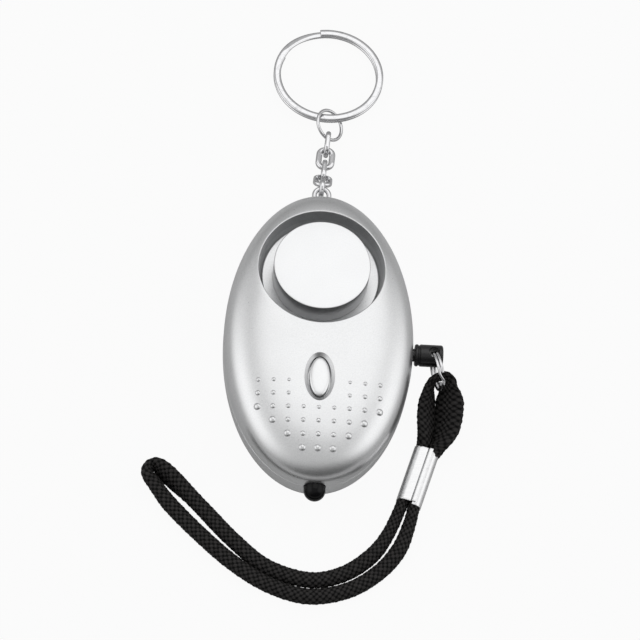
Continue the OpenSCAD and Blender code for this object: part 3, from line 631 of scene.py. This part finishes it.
def shadeOnFront(spot, normal):
    # Painted shade: the silver is painted darker on the wall of the recess and on the bevel round the button
    fromSiren = math.hypot(spot.x, spot.y - siren["y"])
    if fromSiren < siren["rim"] and normal.z < paintedShade["wallLean"]:
        return paintedShade["wall"]
    wide, long = openWide / 2 + paintedShade["bevelReach"], openLong / 2 + paintedShade["bevelReach"]
    onBevel = math.hypot(spot.x / wide, (spot.y - button["y"]) / long) < 1
    onTop = spot.z > case["split"] + case["frontHigh"] - paintedShade["bevelDeep"]
    inwards = Vector((-spot.x, button["y"] - spot.y, 0)).normalized()
    domeLean = -frontFall(spot.x, spot.y)[1] / (2 * case["probe"])
    lean = normal.dot(inwards) + domeLean * inwards.y
    return paintedShade["bevel"] if onBevel and onTop and lean > paintedShade["bevelLean"] else 0


# Painted shade on the steep side of the siren cap
def shadeOnCap(normal):
    return paintedShade["cap"] if abs(normal.z) < paintedShade["capLean"] else 0


# The opening's flare: how much wider it gets, and its height above the dome
flare = [(0, -6), (0, -0.5), (0.08, -0.44), (1.75, -0.1), (1.95, 0.02), (2.6, 0.4)]
buttonZ = frontZ(0, button["y"])
openWide, openLong = button["wide"] + 2 * button["gap"], button["long"] + 2 * button["gap"]
frontShell = makeFront()
flareLevels = [(openWide + wider, openLong + wider, z) for wider, z in flare]
opening = ovalLoft("opening", button["turns"], button["y"], flareLevels, frontZ)
boreCutter = drill("bores", [
    ((case["halfWide"], bores["pinY"], case["split"]), (1, 0, 0), bores["pin"] / 2, bores["pinDeep"]),
    ((0, -case["halfLong"], case["split"]), (0, 1, 0), bores["lamp"] / 2, bores["lampDeep"]),
    ((bores["bailX"], case["halfLong"], case["split"]), (0, 1, 0), bores["bail"] / 2, bores["bailDeep"]),
    ((-bores["bailX"], case["halfLong"], case["split"]), (0, 1, 0), bores["bail"] / 2, bores["bailDeep"]),
])
cutWith(frontShell, opening)
cutWith(frontShell, boreCutter)
# Painted shade on the recess wall and the button's bevel, as a value on each face
markFaces(frontShell, "paintedShade", lambda face: shadeOnFront(face.center / mm, face.normal))
addDots(frontShell)
settle(frontShell, "case", "case_silver", "front_shell", angle=40)
print("stage: front shell made,", len(frontShell.data.polygons), "faces")


def makeBack():
    count, full = case["turns"], case["backFull"]
    flat = (1 - (case["split"] / case["backHigh"]) ** full) ** (1 / full)

    def ring(rho, z, thin=0):
        def at(k):
            a = 2 * math.pi * k / count
            x = (case["halfWide"] * rho - thin) * math.cos(a) * (1 - case["egg"] * rho * math.sin(a))
            return Vector((x, (case["halfLong"] * rho - thin) * math.sin(a), z)) * mm
        return at

    start = math.acos(flat ** (full / 2))
    rings = []
    for t in range(1, case["sideRings"] + 1):
        a = start * (1 - t / case["sideRings"])
        z = case["split"] - case["backHigh"] * math.sin(a) ** (2 / full)
        rings.append(ring(math.cos(a) ** (2 / full), min(z, case["split"] - case["seam"])))
    rings.append(ring(1, case["split"] - case["faceGap"], case["seam"]))
    rings.append(ring(1, case["split"] - case["faceGap"], case["wall"]))
    for t in range(1, case["hollowRings"] + 1):
        a = math.radians(case["hollowSweep"] * t / case["hollowRings"])
        deep = (case["split"] - case["wall"]) * math.sin(a) ** (2 / full)
        rings.append(ring(math.cos(a) ** (2 / full), case["split"] - deep, case["wall"]))
    bm = bmesh.new()
    first = edges = startLoop(bm, count, ring(flat, 0))
    for place in rings:
        edges = growLoop(bm, edges, place)
    bmesh.ops.contextual_create(bm, geom=first)
    bmesh.ops.contextual_create(bm, geom=edges)
    return meshOf(bm, "backShell")


backShell = makeBack()
wells = drill("wells", [
    ((x, y, 0), (0, 0, 1), screws["well"] / 2, screws["wellDeep"]) for x, y in screws["spots"]
])
cutWith(backShell, boreCutter)
cutWith(backShell, wells)
settle(backShell, "case", "case_silver", "back_shell", angle=40)
for cutter in (opening, boreCutter, wells):
    bpy.data.objects.remove(cutter)
print("stage: back shell made")


def makeCap():
    bm = bmesh.new()
    top, edge = siren["capTop"], siren["capRound"]
    foot = siren["floorZ"] + siren["slot"]
    inner, under = siren["cap"] - siren["capWall"], top - siren["capWall"]
    line = [(0, top), (siren["cap"] * siren["capInner"], top)]
    for a in reversed(quarterTurn):
        line.append((siren["cap"] - edge + edge * math.cos(a), top - edge + edge * math.sin(a)))
    line += [(siren["cap"], foot), (inner, foot), (inner, under), (0, under)]
    points = [bm.verts.new(Vector((r, siren["y"], z)) * mm) for r, z in line]
    sides = [bm.edges.new(pair) for pair in zip(points, points[1:])]
    centre = Vector((0, siren["y"], 0)) * mm
    bmesh.ops.spin(
        bm, geom=points + sides, cent=centre, axis=(0, 0, 1), angle=2 * math.pi, steps=siren["capTurns"],
        use_merge=True,
    )
    bmesh.ops.remove_doubles(bm, verts=bm.verts, dist=mergeDistance)
    outer, bite = siren["cap"] - siren["footInset"], foot + siren["footBite"]
    for k in range(siren["feet"]):
        start = 2 * math.pi * k / siren["feet"] - math.radians(siren["footTurn"] / 2)
        way = Vector((math.cos(start), math.sin(start), 0))
        corners = [(inner, siren["floorZ"]), (outer, siren["floorZ"]), (outer, bite), (inner, bite)]
        quad = [bm.verts.new(centre + (way * r + Vector((0, 0, z))) * mm) for r, z in corners]
        face = bm.faces.new(quad)
        bmesh.ops.spin(
            bm, geom=quad + list(face.edges) + [face], cent=centre, axis=(0, 0, 1),
            angle=math.radians(siren["footTurn"]), steps=siren["footSteps"],
        )
    return meshOf(bm, "sirenCap")


sirenCap = makeCap()
# Painted shade on the cap's side
markFaces(sirenCap, "paintedShade", lambda face: shadeOnCap(face.normal))
settle(sirenCap, "case", "cap_silver", "siren_cap")

# The button's crown: how much narrower it gets, and its height below the top
crown = [(0, -0.5), (0.03, -0.4), (0.16, -0.3), (0.5, -0.19), (1.2, -0.09), (2.2, -0.035), (3.6, -0.005)]
flangeTop = -button["flangeDrop"]
flangeWide, flangeLong = button["wide"] + 2 * button["flange"], button["long"] + 2 * button["flange"]
buttonLevels = [
    (flangeWide, flangeLong, flangeTop - button["flangeThick"]),
    (flangeWide, flangeLong, flangeTop),
    (button["wide"], button["long"], flangeTop),
]
buttonLevels += [(button["wide"] - less, button["long"] - less, button["proud"] + z) for less, z in crown]
lightButton = ovalLoft("lightButton", button["turns"], button["y"], buttonLevels, lambda x, y: buttonZ)
settle(lightButton, "button", "cap_silver", "light_button")
print("stage: cap and button made")


# Chain: five links hang from the bail, then the jump ring and the key ring; gap is the room between the wires
chain = {
    "yaw": -5.2, "apexY": 45.05, "bailWire": 1.3, "gap": 0.12, "lowZ": 3.1, "easySlope": -8.5,
    "jumpRadius": 4.3, "jumpWire": 0.9, "keySlack": 0.8, "keyRise": 0.1,
}
links = {
    "count": 5, "arc": 1.9, "run": 2.5, "wire": 1.4, "inward": 0.26, "press": 0.3, "steps": 72, "sides": 24,
}
keyRingShape = {
    "radius": 14.25, "turn": 8.4, "wide": 2, "high": 0.9, "gap": 0.12, "tableGap": 0.02,
    "jog": 52, "endGap": 1.5, "steps": 288, "startTurn": 150, "sides": 24, "crown": 0.8,
}
pinRingShape = {
    "hole": (30.2, -2.6, 11), "heading": -76, "back": 0.4, "radius": 4.8, "wide": 0.75, "high": 0.75,
    "gap": 0.12, "jog": 30, "endGap": 1.5, "steps": 192, "startTurn": 60, "sides": 16, "crown": 0.85,
}


def hangLinks():
    # Two links fall steeply, two gently and the last lies level; gives the place each one hangs from,
    # its slope and how far it reaches back past that place
    wire, length = links["wire"], 2 * links["arc"] + links["run"] + links["wire"]
    past = [((wire if k else chain["bailWire"]) + wire) / 2 + chain["gap"] for k in range(links["count"])]
    steps = [length - wire - p for p in past]
    easy = math.radians(chain["easySlope"])
    fall = case["split"] - chain["lowZ"] + (steps[2] + steps[3]) * math.sin(easy)
    steep = -math.asin(fall / (steps[0] + steps[1]))
    slopes = [steep, steep, easy, easy, 0]
    hooks = [(chain["apexY"], case["split"])]
    for step, slope in zip(steps, slopes):
        y, z = hooks[-1]
        hooks.append((y + step * math.cos(slope), z + step * math.sin(slope)))
    return hooks, slopes, past


# A split ring is a flat wire of nearly two turns with one jog
def makeSplitRing(name, ring, seat):
    section = []
    for k in range(ring["sides"]):
        a = 2 * math.pi * (k + 0.5) / ring["sides"]
        x, z = (math.copysign(abs(v) ** ring["crown"], v) for v in (math.cos(a), math.sin(a)))
        section.append(Vector((ring["wide"] / 2 * x, ring["high"] / 2 * z)))
    sweep = 720 - ring["jog"] - 2 * ring["endGap"]

    def place(n):
        turn = ring["endGap"] + sweep * n / ring["steps"]
        u = max(0, min(1, (turn - 360 + ring["jog"]) / ring["jog"]))
        rise = (ring["high"] + ring["gap"]) * (u * u * (3 - 2 * u) - 0.5)
        a = math.radians(turn)

        def at(k):
            reach = ring["radius"] + section[k].x
            return seat @ (Vector((reach * math.cos(a), reach * math.sin(a), section[k].y + rise)) * mm)

        return at

    bm = bmesh.new()
    first = edges = startLoop(bm, len(section), place(0))
    for n in range(1, ring["steps"] + 1):
        edges = growLoop(bm, edges, place(n))
    bmesh.ops.contextual_create(bm, geom=first)
    bmesh.ops.contextual_create(bm, geom=edges)
    return meshOf(bm, name)


def turned(degrees, axis):
    return Matrix.Rotation(math.radians(degrees), 4, axis)


def shifted(x, y, z):
    return Matrix.Translation(Vector((x, y, z)) * mm)


hooks, slopes, past = hangLinks()
chainSeat = shifted(0, chain["apexY"], 0) @ turned(chain["yaw"], "Z") @ shifted(0, -chain["apexY"], 0)
jumpY = hooks[-1][0] - (links["wire"] + chain["jumpWire"]) / 2 - chain["gap"] + chain["jumpRadius"]
keyInset = (chain["jumpWire"] + keyRingShape["wide"]) / 2 + chain["keySlack"]
keyHook = (0, jumpY + chain["jumpRadius"] - keyInset, chain["lowZ"] + chain["keyRise"])
stack = 2 * keyRingShape["high"] + keyRingShape["gap"]
farRise = keyHook[2] - stack / 2 - keyRingShape["tableGap"]
tilt = math.degrees(math.asin(farRise / (2 * keyRingShape["radius"] + keyRingShape["wide"] / 2)))
keySeat = (
    chainSeat @ shifted(*keyHook) @ turned(keyRingShape["turn"], "Z") @ turned(-tilt, "X")
    @ shifted(0, keyRingShape["radius"], 0) @ turned(keyRingShape["startTurn"], "Z")
)
keyRing = makeSplitRing("keyRing", keyRingShape, keySeat)
settle(keyRing, "keys", "chain_steel", "key_ring", angle=45)
pinSeat = (
    shifted(*pinRingShape["hole"]) @ turned(pinRingShape["heading"], "Z")
    @ shifted(pinRingShape["radius"] - pinRingShape["back"], 0, 0)
    @ turned(90, "X") @ turned(pinRingShape["startTurn"], "Z")
)
pinRing = makeSplitRing("pinRing", pinRingShape, pinSeat)
settle(pinRing, "strap", "chain_steel", "pin_ring", angle=45)
print("stage: split rings coiled")


# A link is bent from wire whose sides are pressed flat
def makeLink(number):
    seat = (
        chainSeat @ shifted(0, *hooks[number]) @ turned(math.degrees(slopes[number]), "X")
        @ shifted(0, -past[number], 0) @ turned(90 if number % 2 == 0 else 0, "Y")
    )
    half, arc = links["wire"] / 2, math.pi * links["arc"]
    whole = 2 * (arc + links["run"])

    def place(n):
        distance = whole * n / links["steps"]
        late = distance >= whole / 2
        distance -= whole / 2 if late else 0
        turn = min(max(distance - links["run"] / 2, 0) / arc, 1) * math.pi
        straight = min(distance, links["run"] / 2) - max(distance - links["run"] / 2 - arc, 0)
        out = Vector((math.cos(turn), math.sin(turn), 0))
        centre = Vector((0, links["run"] / 2, 0)) + out * links["arc"]
        centre += Vector((0, straight - links["run"] / 2 if turn == 0 else 0, 0))
        centre -= Vector((0, distance - links["run"] / 2 - arc, 0)) if turn == math.pi else Vector()
        flat = abs(math.cos(turn)) ** 2
        flip = -1 if late else 1

        def at(k):
            a = 2 * math.pi * k / links["sides"]
            power = 1 - links["press"] * flat
            x = math.copysign(abs(math.cos(a)) ** power, math.cos(a)) * half
            if x < 0:
                x *= 1 + links["inward"] / half * flat
            h = math.copysign(abs(math.sin(a)) ** power, math.sin(a)) * half
            p = (centre + out * x) * flip + Vector((0, links["arc"] + links["run"] / 2, h))
            return seat @ (p * mm)

        return at

    bm = bmesh.new()
    first = edges = startLoop(bm, links["sides"], place(0))
    for n in range(1, links["steps"]):
        edges = growLoop(bm, edges, place(n))
    bmesh.ops.bridge_loops(bm, edges=first + edges)
    made = meshOf(bm, f"chainLink{number + 1}")
    settle(made, f"link_{number + 1}", "chain_steel", f"chain_link_{number + 1}", angle=60)
    return made


chainLinks = [makeLink(number) for number in range(links["count"])]
print("stage: links bent")


# Shader groups: each puts out values only, and the materials feed them to their shaders
def newGroup(name, inputs, outputs):
    group = bpy.data.node_groups.new(name, "ShaderNodeTree")
    for label, value in inputs.items():
        socket = group.interface.new_socket(label, in_out="INPUT", socket_type="NodeSocketFloat")
        socket.default_value = value
    for label in outputs:
        group.interface.new_socket(label, in_out="OUTPUT", socket_type="NodeSocketFloat")
    return group, group.nodes.new("NodeGroupInput").outputs, group.nodes.new("NodeGroupOutput").inputs


def addNode(tree, kind, settings=None, **inputs):
    # Inputs go by name, with _ for a space, or by number as i0, i1 and so on
    made = tree.nodes.new(kind)
    for label, value in (settings or {}).items():
        setattr(made, label, value)
    for label, value in inputs.items():
        numbered = label[0] == "i" and label[1:].isdigit()
        socket = made.inputs[int(label[1:])] if numbered else made.inputs[label.replace("_", " ")]
        if isinstance(value, bpy.types.NodeSocket):
            tree.links.new(value, socket)
        else:
            socket.default_value = value
    return made


def mapRange(tree, value, low, high, start, end):
    made = addNode(
        tree, "ShaderNodeMapRange", {"interpolation_type": "SMOOTHSTEP"},
        Value=value, From_Min=low, From_Max=high, To_Min=start, To_Max=end,
    )
    return made.outputs["Result"]


def vectorMath(tree, operation, first, second=(0, 0, 0)):
    return addNode(tree, "ShaderNodeVectorMath", {"operation": operation}, i0=first, i1=second).outputs


def combine(tree, operation, first, second):
    return addNode(tree, "ShaderNodeMath", {"operation": operation}, i0=first, i1=second).outputs["Value"]


def makeGrainGroup():
    group, given, out = newGroup(
        "surfaceGrain", {"Scale": 3000.0, "Low": 0.3, "High": 0.4}, ["Value", "Height"],
    )
    place = addNode(group, "ShaderNodeTexCoord").outputs["Object"]
    fine = addNode(group, "ShaderNodeTexNoise", Vector=place, Scale=given["Scale"], Detail=2.0, Roughness=0.6)
    broad = addNode(group, "ShaderNodeTexNoise", Vector=place, Scale=140.0, Detail=3.0, Roughness=0.55)
    broadShare = 0.35
    both = addNode(group, "ShaderNodeMix", i0=broadShare, i2=fine.outputs["Fac"], i3=broad.outputs["Fac"])
    spread = addNode(
        group, "ShaderNodeMapRange", Value=both.outputs[0],
        From_Min=0.3, From_Max=0.7, To_Min=given["Low"], To_Max=given["High"],
    )
    group.links.new(spread.outputs["Result"], out["Value"])
    group.links.new(fine.outputs["Fac"], out["Height"])
    return group


def makeScratchGroup():
    group, given, out = newGroup(
        "hairScratches", {"Density": 500.0, "Low": 0.1, "High": 0.25}, ["Value", "Mask"],
    )
    place = addNode(group, "ShaderNodeTexCoord").outputs["Object"]
    drift = addNode(group, "ShaderNodeTexNoise", Vector=place, Scale=260.0, Detail=2.0)
    driftShare = 0.004
    bent = addNode(
        group, "ShaderNodeMix", {"data_type": "VECTOR"}, i0=driftShare, i4=place, i5=drift.outputs["Color"],
    )
    lines = addNode(
        group, "ShaderNodeTexVoronoi", {"feature": "DISTANCE_TO_EDGE"},
        Vector=bent.outputs[1], Scale=given["Density"],
    )
    mask = addNode(
        group, "ShaderNodeMapRange", Value=lines.outputs["Distance"],
        From_Min=0.0, From_Max=0.05, To_Min=1.0, To_Max=0.0,
    )
    patch = addNode(group, "ShaderNodeTexNoise", Vector=place, Scale=90.0, Detail=2.0)
    faded = combine(group, "MULTIPLY", mask.outputs["Result"], patch.outputs["Fac"])
    spread = addNode(group, "ShaderNodeMapRange", Value=faded, To_Min=given["Low"], To_Max=given["High"])
    group.links.new(spread.outputs["Result"], out["Value"])
    group.links.new(faded, out["Mask"])
    return group


grainGroup = makeGrainGroup()
scratchGroup = makeScratchGroup()


def newMaterial(name, **values):
    material = bpy.data.materials.new(name)
    material.use_nodes = True
    tree = material.node_tree
    shader = tree.nodes["Principled BSDF"]
    for label, value in values.items():
        shader.inputs[label.replace("_", " ")].default_value = value
    return material, tree, shader


def useGroup(tree, group, **values):
    made = addNode(tree, "ShaderNodeGroup", {"node_tree": group})
    for label, value in values.items():
        made.inputs[label].default_value = value
    return made.outputs


def blendColours(tree, factor, low, high):
    # Each colour is three numbers or the output of a node
    low, high = ((*colour, 1) if isinstance(colour, tuple) else colour for colour in (low, high))
    return addNode(tree, "ShaderNodeMix", {"data_type": "RGBA"}, i0=factor, i6=low, i7=high).outputs[2]


reliefDepth = 0.00004


def grainMaterial(name, low, high, rough, scale, bump, under=None, **values):
    # Fine grain: two tones, a spread of roughness and a shallow relief; under is a dark colour painted as shade on the
    # faces marked for it
    material, tree, shader = newMaterial(name, **values)
    grain = useGroup(tree, grainGroup, Scale=scale, Low=rough[0], High=rough[1])
    colour = blendColours(tree, grain["Height"], low, high)
    if under:
        # Painted shade: the marked faces blend towards the dark under colour
        thin = addNode(tree, "ShaderNodeAttribute", {"attribute_name": "paintedShade"}).outputs["Fac"]
        colour = blendColours(tree, thin, colour, under)
    tree.links.new(colour, shader.inputs["Base Color"])
    tree.links.new(grain["Value"], shader.inputs["Roughness"])
    relief = addNode(tree, "ShaderNodeBump", Strength=bump, Distance=reliefDepth, Height=grain["Height"])
    tree.links.new(relief.outputs["Normal"], shader.inputs["Normal"])
    return material


def steelMaterial(name, low, high, rough, density):
    material, tree, shader = newMaterial(name, Metallic=1.0)
    marks = useGroup(tree, scratchGroup, Density=density, Low=rough[0], High=rough[1])
    tree.links.new(blendColours(tree, marks["Mask"], high, low), shader.inputs["Base Color"])
    tree.links.new(marks["Value"], shader.inputs["Roughness"])
    return material


# deep is a near-black colour painted into the crevices between the lumps as painted shade
braid = {
    "low": (0.008, 0.008, 0.008), "high": (0.054, 0.05, 0.049), "deep": (0.0008, 0.0008, 0.0008),
    "rough": (0.55, 0.85), "creviceStart": 0.06, "creviceEnd": 0.46,
    "yarn": 4200.0, "yarnBump": 0.5, "yarnDepth": 0.0001,
}


def braidMaterial():
    material, tree, shader = newMaterial("strapBraid", Specular_IOR_Level=0.16)
    grain = useGroup(tree, grainGroup, Scale=braid["yarn"], Low=braid["rough"][0], High=braid["rough"][1])
    crevice = addNode(tree, "ShaderNodeAttribute", {"attribute_name": "crevice"}).outputs["Fac"]
    # Painted shade: the crevices between the lumps blend towards the deep colour
    deep = mapRange(tree, crevice, braid["creviceStart"], braid["creviceEnd"], 0, 1)
    lit = blendColours(tree, grain["Height"], braid["low"], braid["high"])
    tree.links.new(blendColours(tree, deep, lit, braid["deep"]), shader.inputs["Base Color"])
    tree.links.new(grain["Value"], shader.inputs["Roughness"])
    relief = addNode(
        tree, "ShaderNodeBump",
        Strength=braid["yarnBump"], Distance=braid["yarnDepth"], Height=grain["Height"],
    )
    tree.links.new(relief.outputs["Normal"], shader.inputs["Normal"])
    return material


def sleeveMaterial():
    # Drawn marks run along the sleeve
    material, tree, shader = newMaterial("sleeveAluminium", Metallic=1.0)
    place = addNode(tree, "ShaderNodeTexCoord").outputs["Object"]
    mapping = addNode(
        tree, "ShaderNodeMapping", Vector=place,
        Rotation=(0, 0, math.radians(-sleeve["heading"])), Scale=(60, 2600, 2600),
    )
    drawn = addNode(tree, "ShaderNodeTexNoise", Vector=mapping.outputs["Vector"], Scale=1.0, Detail=3.0)
    marks = drawn.outputs["Fac"]
    colour = blendColours(tree, marks, (0.62, 0.62, 0.63), (0.9, 0.9, 0.9))
    tree.links.new(colour, shader.inputs["Base Color"])
    rough = addNode(tree, "ShaderNodeMapRange", Value=marks, To_Min=0.2, To_Max=0.42)
    tree.links.new(rough.outputs["Result"], shader.inputs["Roughness"])
    relief = addNode(tree, "ShaderNodeBump", Strength=0.15, Distance=reliefDepth, Height=marks)
    tree.links.new(relief.outputs["Normal"], shader.inputs["Normal"])
    return material


# Tones and roughness are low and high, then the scale of the grain or scratches, and for grain its bump
grains = {
    "caseSilver": ((0.62, 0.625, 0.63), (0.82, 0.825, 0.83), (0.27, 0.37), 2800.0, 0.3),
    # The cap's finish is the case's silver with its dark tone raised: a painted highlight, as for a top that faces the
    # light; the siren cap and the light button take it
    "capSilver": ((0.72, 0.725, 0.73), (0.82, 0.825, 0.83), (0.28, 0.36), 2800.0, 0.12),
    "lampBlack": ((0.003, 0.003, 0.003), (0.006, 0.006, 0.007), (0.05, 0.09), 900.0, 0.0),
    "pinBlack": ((0.005, 0.005, 0.006), (0.011, 0.011, 0.012), (0.24, 0.36), 2400.0, 0.1),
    "ceramic": ((0.72, 0.7, 0.62), (0.8, 0.78, 0.72), (0.4, 0.5), 2000.0, 0.05),
    "boardGreen": ((0.01, 0.09, 0.03), (0.02, 0.16, 0.06), (0.3, 0.4), 1500.0, 0.05),
    "chipBlack": ((0.012, 0.012, 0.012), (0.03, 0.03, 0.03), (0.45, 0.6), 2600.0, 0.1),
    "capacitorBlue": ((0.01, 0.015, 0.06), (0.02, 0.03, 0.1), (0.3, 0.4), 1200.0, 0.03),
    "guideGrey": ((0.1, 0.1, 0.1), (0.16, 0.16, 0.16), (0.45, 0.6), 2200.0, 0.08),
}
steels = {
    "chainSteel": ((0.48, 0.48, 0.49), (0.7, 0.7, 0.71), (0.06, 0.18), 420.0),
    "screwSteel": ((0.4, 0.4, 0.41), (0.62, 0.62, 0.63), (0.2, 0.35), 700.0),
    "cellSteel": ((0.6, 0.6, 0.6), (0.75, 0.75, 0.75), (0.15, 0.3), 300.0),
    "contactBrass": ((0.55, 0.38, 0.15), (0.75, 0.55, 0.25), (0.2, 0.35), 400.0),
    "coilCopper": ((0.5, 0.22, 0.1), (0.75, 0.36, 0.18), (0.25, 0.4), 600.0),
}
# under is the dark colour of the painted shade on the case and the cap
extras = {
    "caseSilver": {"under": (0.1, 0.1, 0.105), "Metallic": 0.95, "Coat_Weight": 0.15, "Coat_Roughness": 0.25},
    "capSilver": {"under": (0.1, 0.1, 0.105), "Metallic": 0.9},
    "lampBlack": {"Specular_IOR_Level": 0.14},
}
finishes = {name: grainMaterial(name, *row, **extras.get(name, {})) for name, row in grains.items()}
finishes.update({name: steelMaterial(name, *row) for name, row in steels.items()})
finishes["strapBraid"] = braidMaterial()
finishes["sleeveAluminium"] = sleeveMaterial()
nodeFinish = {
    "led_lamp": "lampBlack", "pull_pin": "pinBlack", "chain_bail": "chainSteel", "jump_ring": "chainSteel",
    "case_screws": "screwSteel", "board_screws": "screwSteel", "button_cells": "cellSteel",
    "cell_contacts": "contactBrass", "contact_leaf_front": "contactBrass",
    "contact_leaf_rear": "contactBrass", "piezo_plate": "contactBrass", "piezo_ceramic": "ceramic",
    "circuit_board": "boardGreen",
    "siren_chip": "chipBlack", "board_resistors": "chipBlack", "tact_switch": "chipBlack",
    "switch_plunger": "chipBlack", "step_up_coil": "coilCopper", "storage_capacitor": "capacitorBlue",
    "pin_guide": "guideGrey",
}
pieceFinish = [
    (wristStrap, "strapBraid"), (crimpSleeve, "sleeveAluminium"), (frontShell, "caseSilver"),
    (backShell, "caseSilver"), (sirenCap, "capSilver"), (lightButton, "capSilver"), (keyRing, "chainSteel"),
    (pinRing, "chainSteel"), *[(link, "chainSteel") for link in chainLinks],
]
for piece, finish in [(nodes[name], finish) for name, finish in nodeFinish.items()] + pieceFinish:
    piece.data.materials.clear()
    piece.data.materials.append(finishes[finish])
print("stage: finishes made,", len(finishes))


# Studio: a pale floor, a light tent with bright sides and a darker front, and one soft lamp
studio = {
    "floor": 3.0, "floorZ": -0.00002, "floorColour": (0.5, 0.5, 0.5), "glowSeen": 0.94, "glowMirrored": 0.08,
    "backdrop": 0.96, "horizon": 0.27, "zenith": 0.62, "skyRange": (-0.05, 0.8),
    "sides": 0.85, "sideRange": (0.68, 0.98), "sideTop": (0.92, 0.72), "sideFoot": (-0.1, 0.45),
    "sideLow": 0.3, "front": 0.22, "frontWay": (-0.26, 0.966, 0), "frontRange": (-0.85, -0.45),
    "lampPlace": (0.1, 0.5, 1.08), "lampSize": 0.95, "lampPower": 2.1,
}


def makeFloor():
    bm = bmesh.new()
    bmesh.ops.create_grid(bm, x_segments=1, y_segments=1, size=studio["floor"])
    bmesh.ops.translate(bm, verts=bm.verts, vec=(0, 0, studio["floorZ"]))
    made = meshOf(bm, "floor")
    material, tree, shader = newMaterial("floorPaper", Roughness=0.9, Specular_IOR_Level=0.1)
    shader.inputs["Base Color"].default_value = (*studio["floorColour"], 1)
    path = addNode(tree, "ShaderNodeLightPath").outputs
    mirrored = combine(tree, "MAXIMUM", path["Is Glossy Ray"], path["Is Transmission Ray"])
    seen = combine(tree, "MULTIPLY", path["Is Camera Ray"], studio["glowSeen"])
    share = combine(tree, "MAXIMUM", seen, combine(tree, "MULTIPLY", mirrored, studio["glowMirrored"]))
    glow = addNode(tree, "ShaderNodeEmission", Strength=1.0)
    paper, light = shader.outputs["BSDF"], glow.outputs["Emission"]
    both = addNode(tree, "ShaderNodeMixShader", i0=share, i1=paper, i2=light)
    tree.links.new(both.outputs["Shader"], tree.nodes["Material Output"].inputs["Surface"])
    made.data.materials.append(material)
    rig.stage(made)


def makeTent():
    world = bpy.data.worlds.new("tent")
    world.use_nodes = True
    scene.world = world
    tree = world.node_tree
    way = addNode(tree, "ShaderNodeTexCoord").outputs["Generated"]
    high = addNode(tree, "ShaderNodeSeparateXYZ", Vector=way).outputs["Z"]
    level = mapRange(tree, high, *studio["skyRange"], studio["horizon"], studio["zenith"])
    flat = vectorMath(tree, "MULTIPLY", way, (1, 1, 0))["Vector"]
    flat = vectorMath(tree, "NORMALIZE", flat)["Vector"]
    aside = addNode(tree, "ShaderNodeSeparateXYZ", Vector=flat).outputs["X"]
    aside = addNode(tree, "ShaderNodeMath", {"operation": "ABSOLUTE"}, i0=aside).outputs["Value"]
    sides = mapRange(tree, aside, *studio["sideRange"], 0, studio["sides"])
    sides = combine(tree, "MULTIPLY", sides, mapRange(tree, high, *studio["sideTop"], 0, 1))
    sides = combine(tree, "MULTIPLY", sides, mapRange(tree, high, *studio["sideFoot"], studio["sideLow"], 1))
    level = combine(tree, "ADD", level, sides)
    ahead = vectorMath(tree, "DOT_PRODUCT", way, studio["frontWay"])["Value"]
    level = combine(tree, "MULTIPLY", level, mapRange(tree, ahead, *studio["frontRange"], studio["front"], 1))
    seen = addNode(tree, "ShaderNodeLightPath").outputs["Is Camera Ray"]
    level = addNode(tree, "ShaderNodeMix", {"data_type": "FLOAT"}, i0=seen, i2=level, i3=studio["backdrop"])
    back = tree.nodes["Background"]
    tree.links.new(level.outputs[0], back.inputs["Strength"])
    back.inputs["Color"].default_value = (1, 1, 1, 1)


def makeLamp():
    data = bpy.data.lights.new("softLamp", "AREA")
    data.size, data.energy = studio["lampSize"], studio["lampPower"]
    made = bpy.data.objects.new("softLamp", data)
    place = Vector(studio["lampPlace"])
    made.matrix_world = Matrix.Translation(place) @ place.to_track_quat("Z", "Y").to_matrix().to_4x4()
    scene.collection.objects.link(made)


makeFloor()
makeTent()
makeLamp()
print("stage: studio lit")

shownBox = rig.bounds()
with open("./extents.json", "w") as sizes:
    json.dump({"cad": [list(v) for v in cadBox], "shown": [list(v) for v in shownBox]}, sizes)
print("stage: sizes", [tuple(round(x * 1000, 2) for x in v) for v in (*cadBox, *shownBox)])
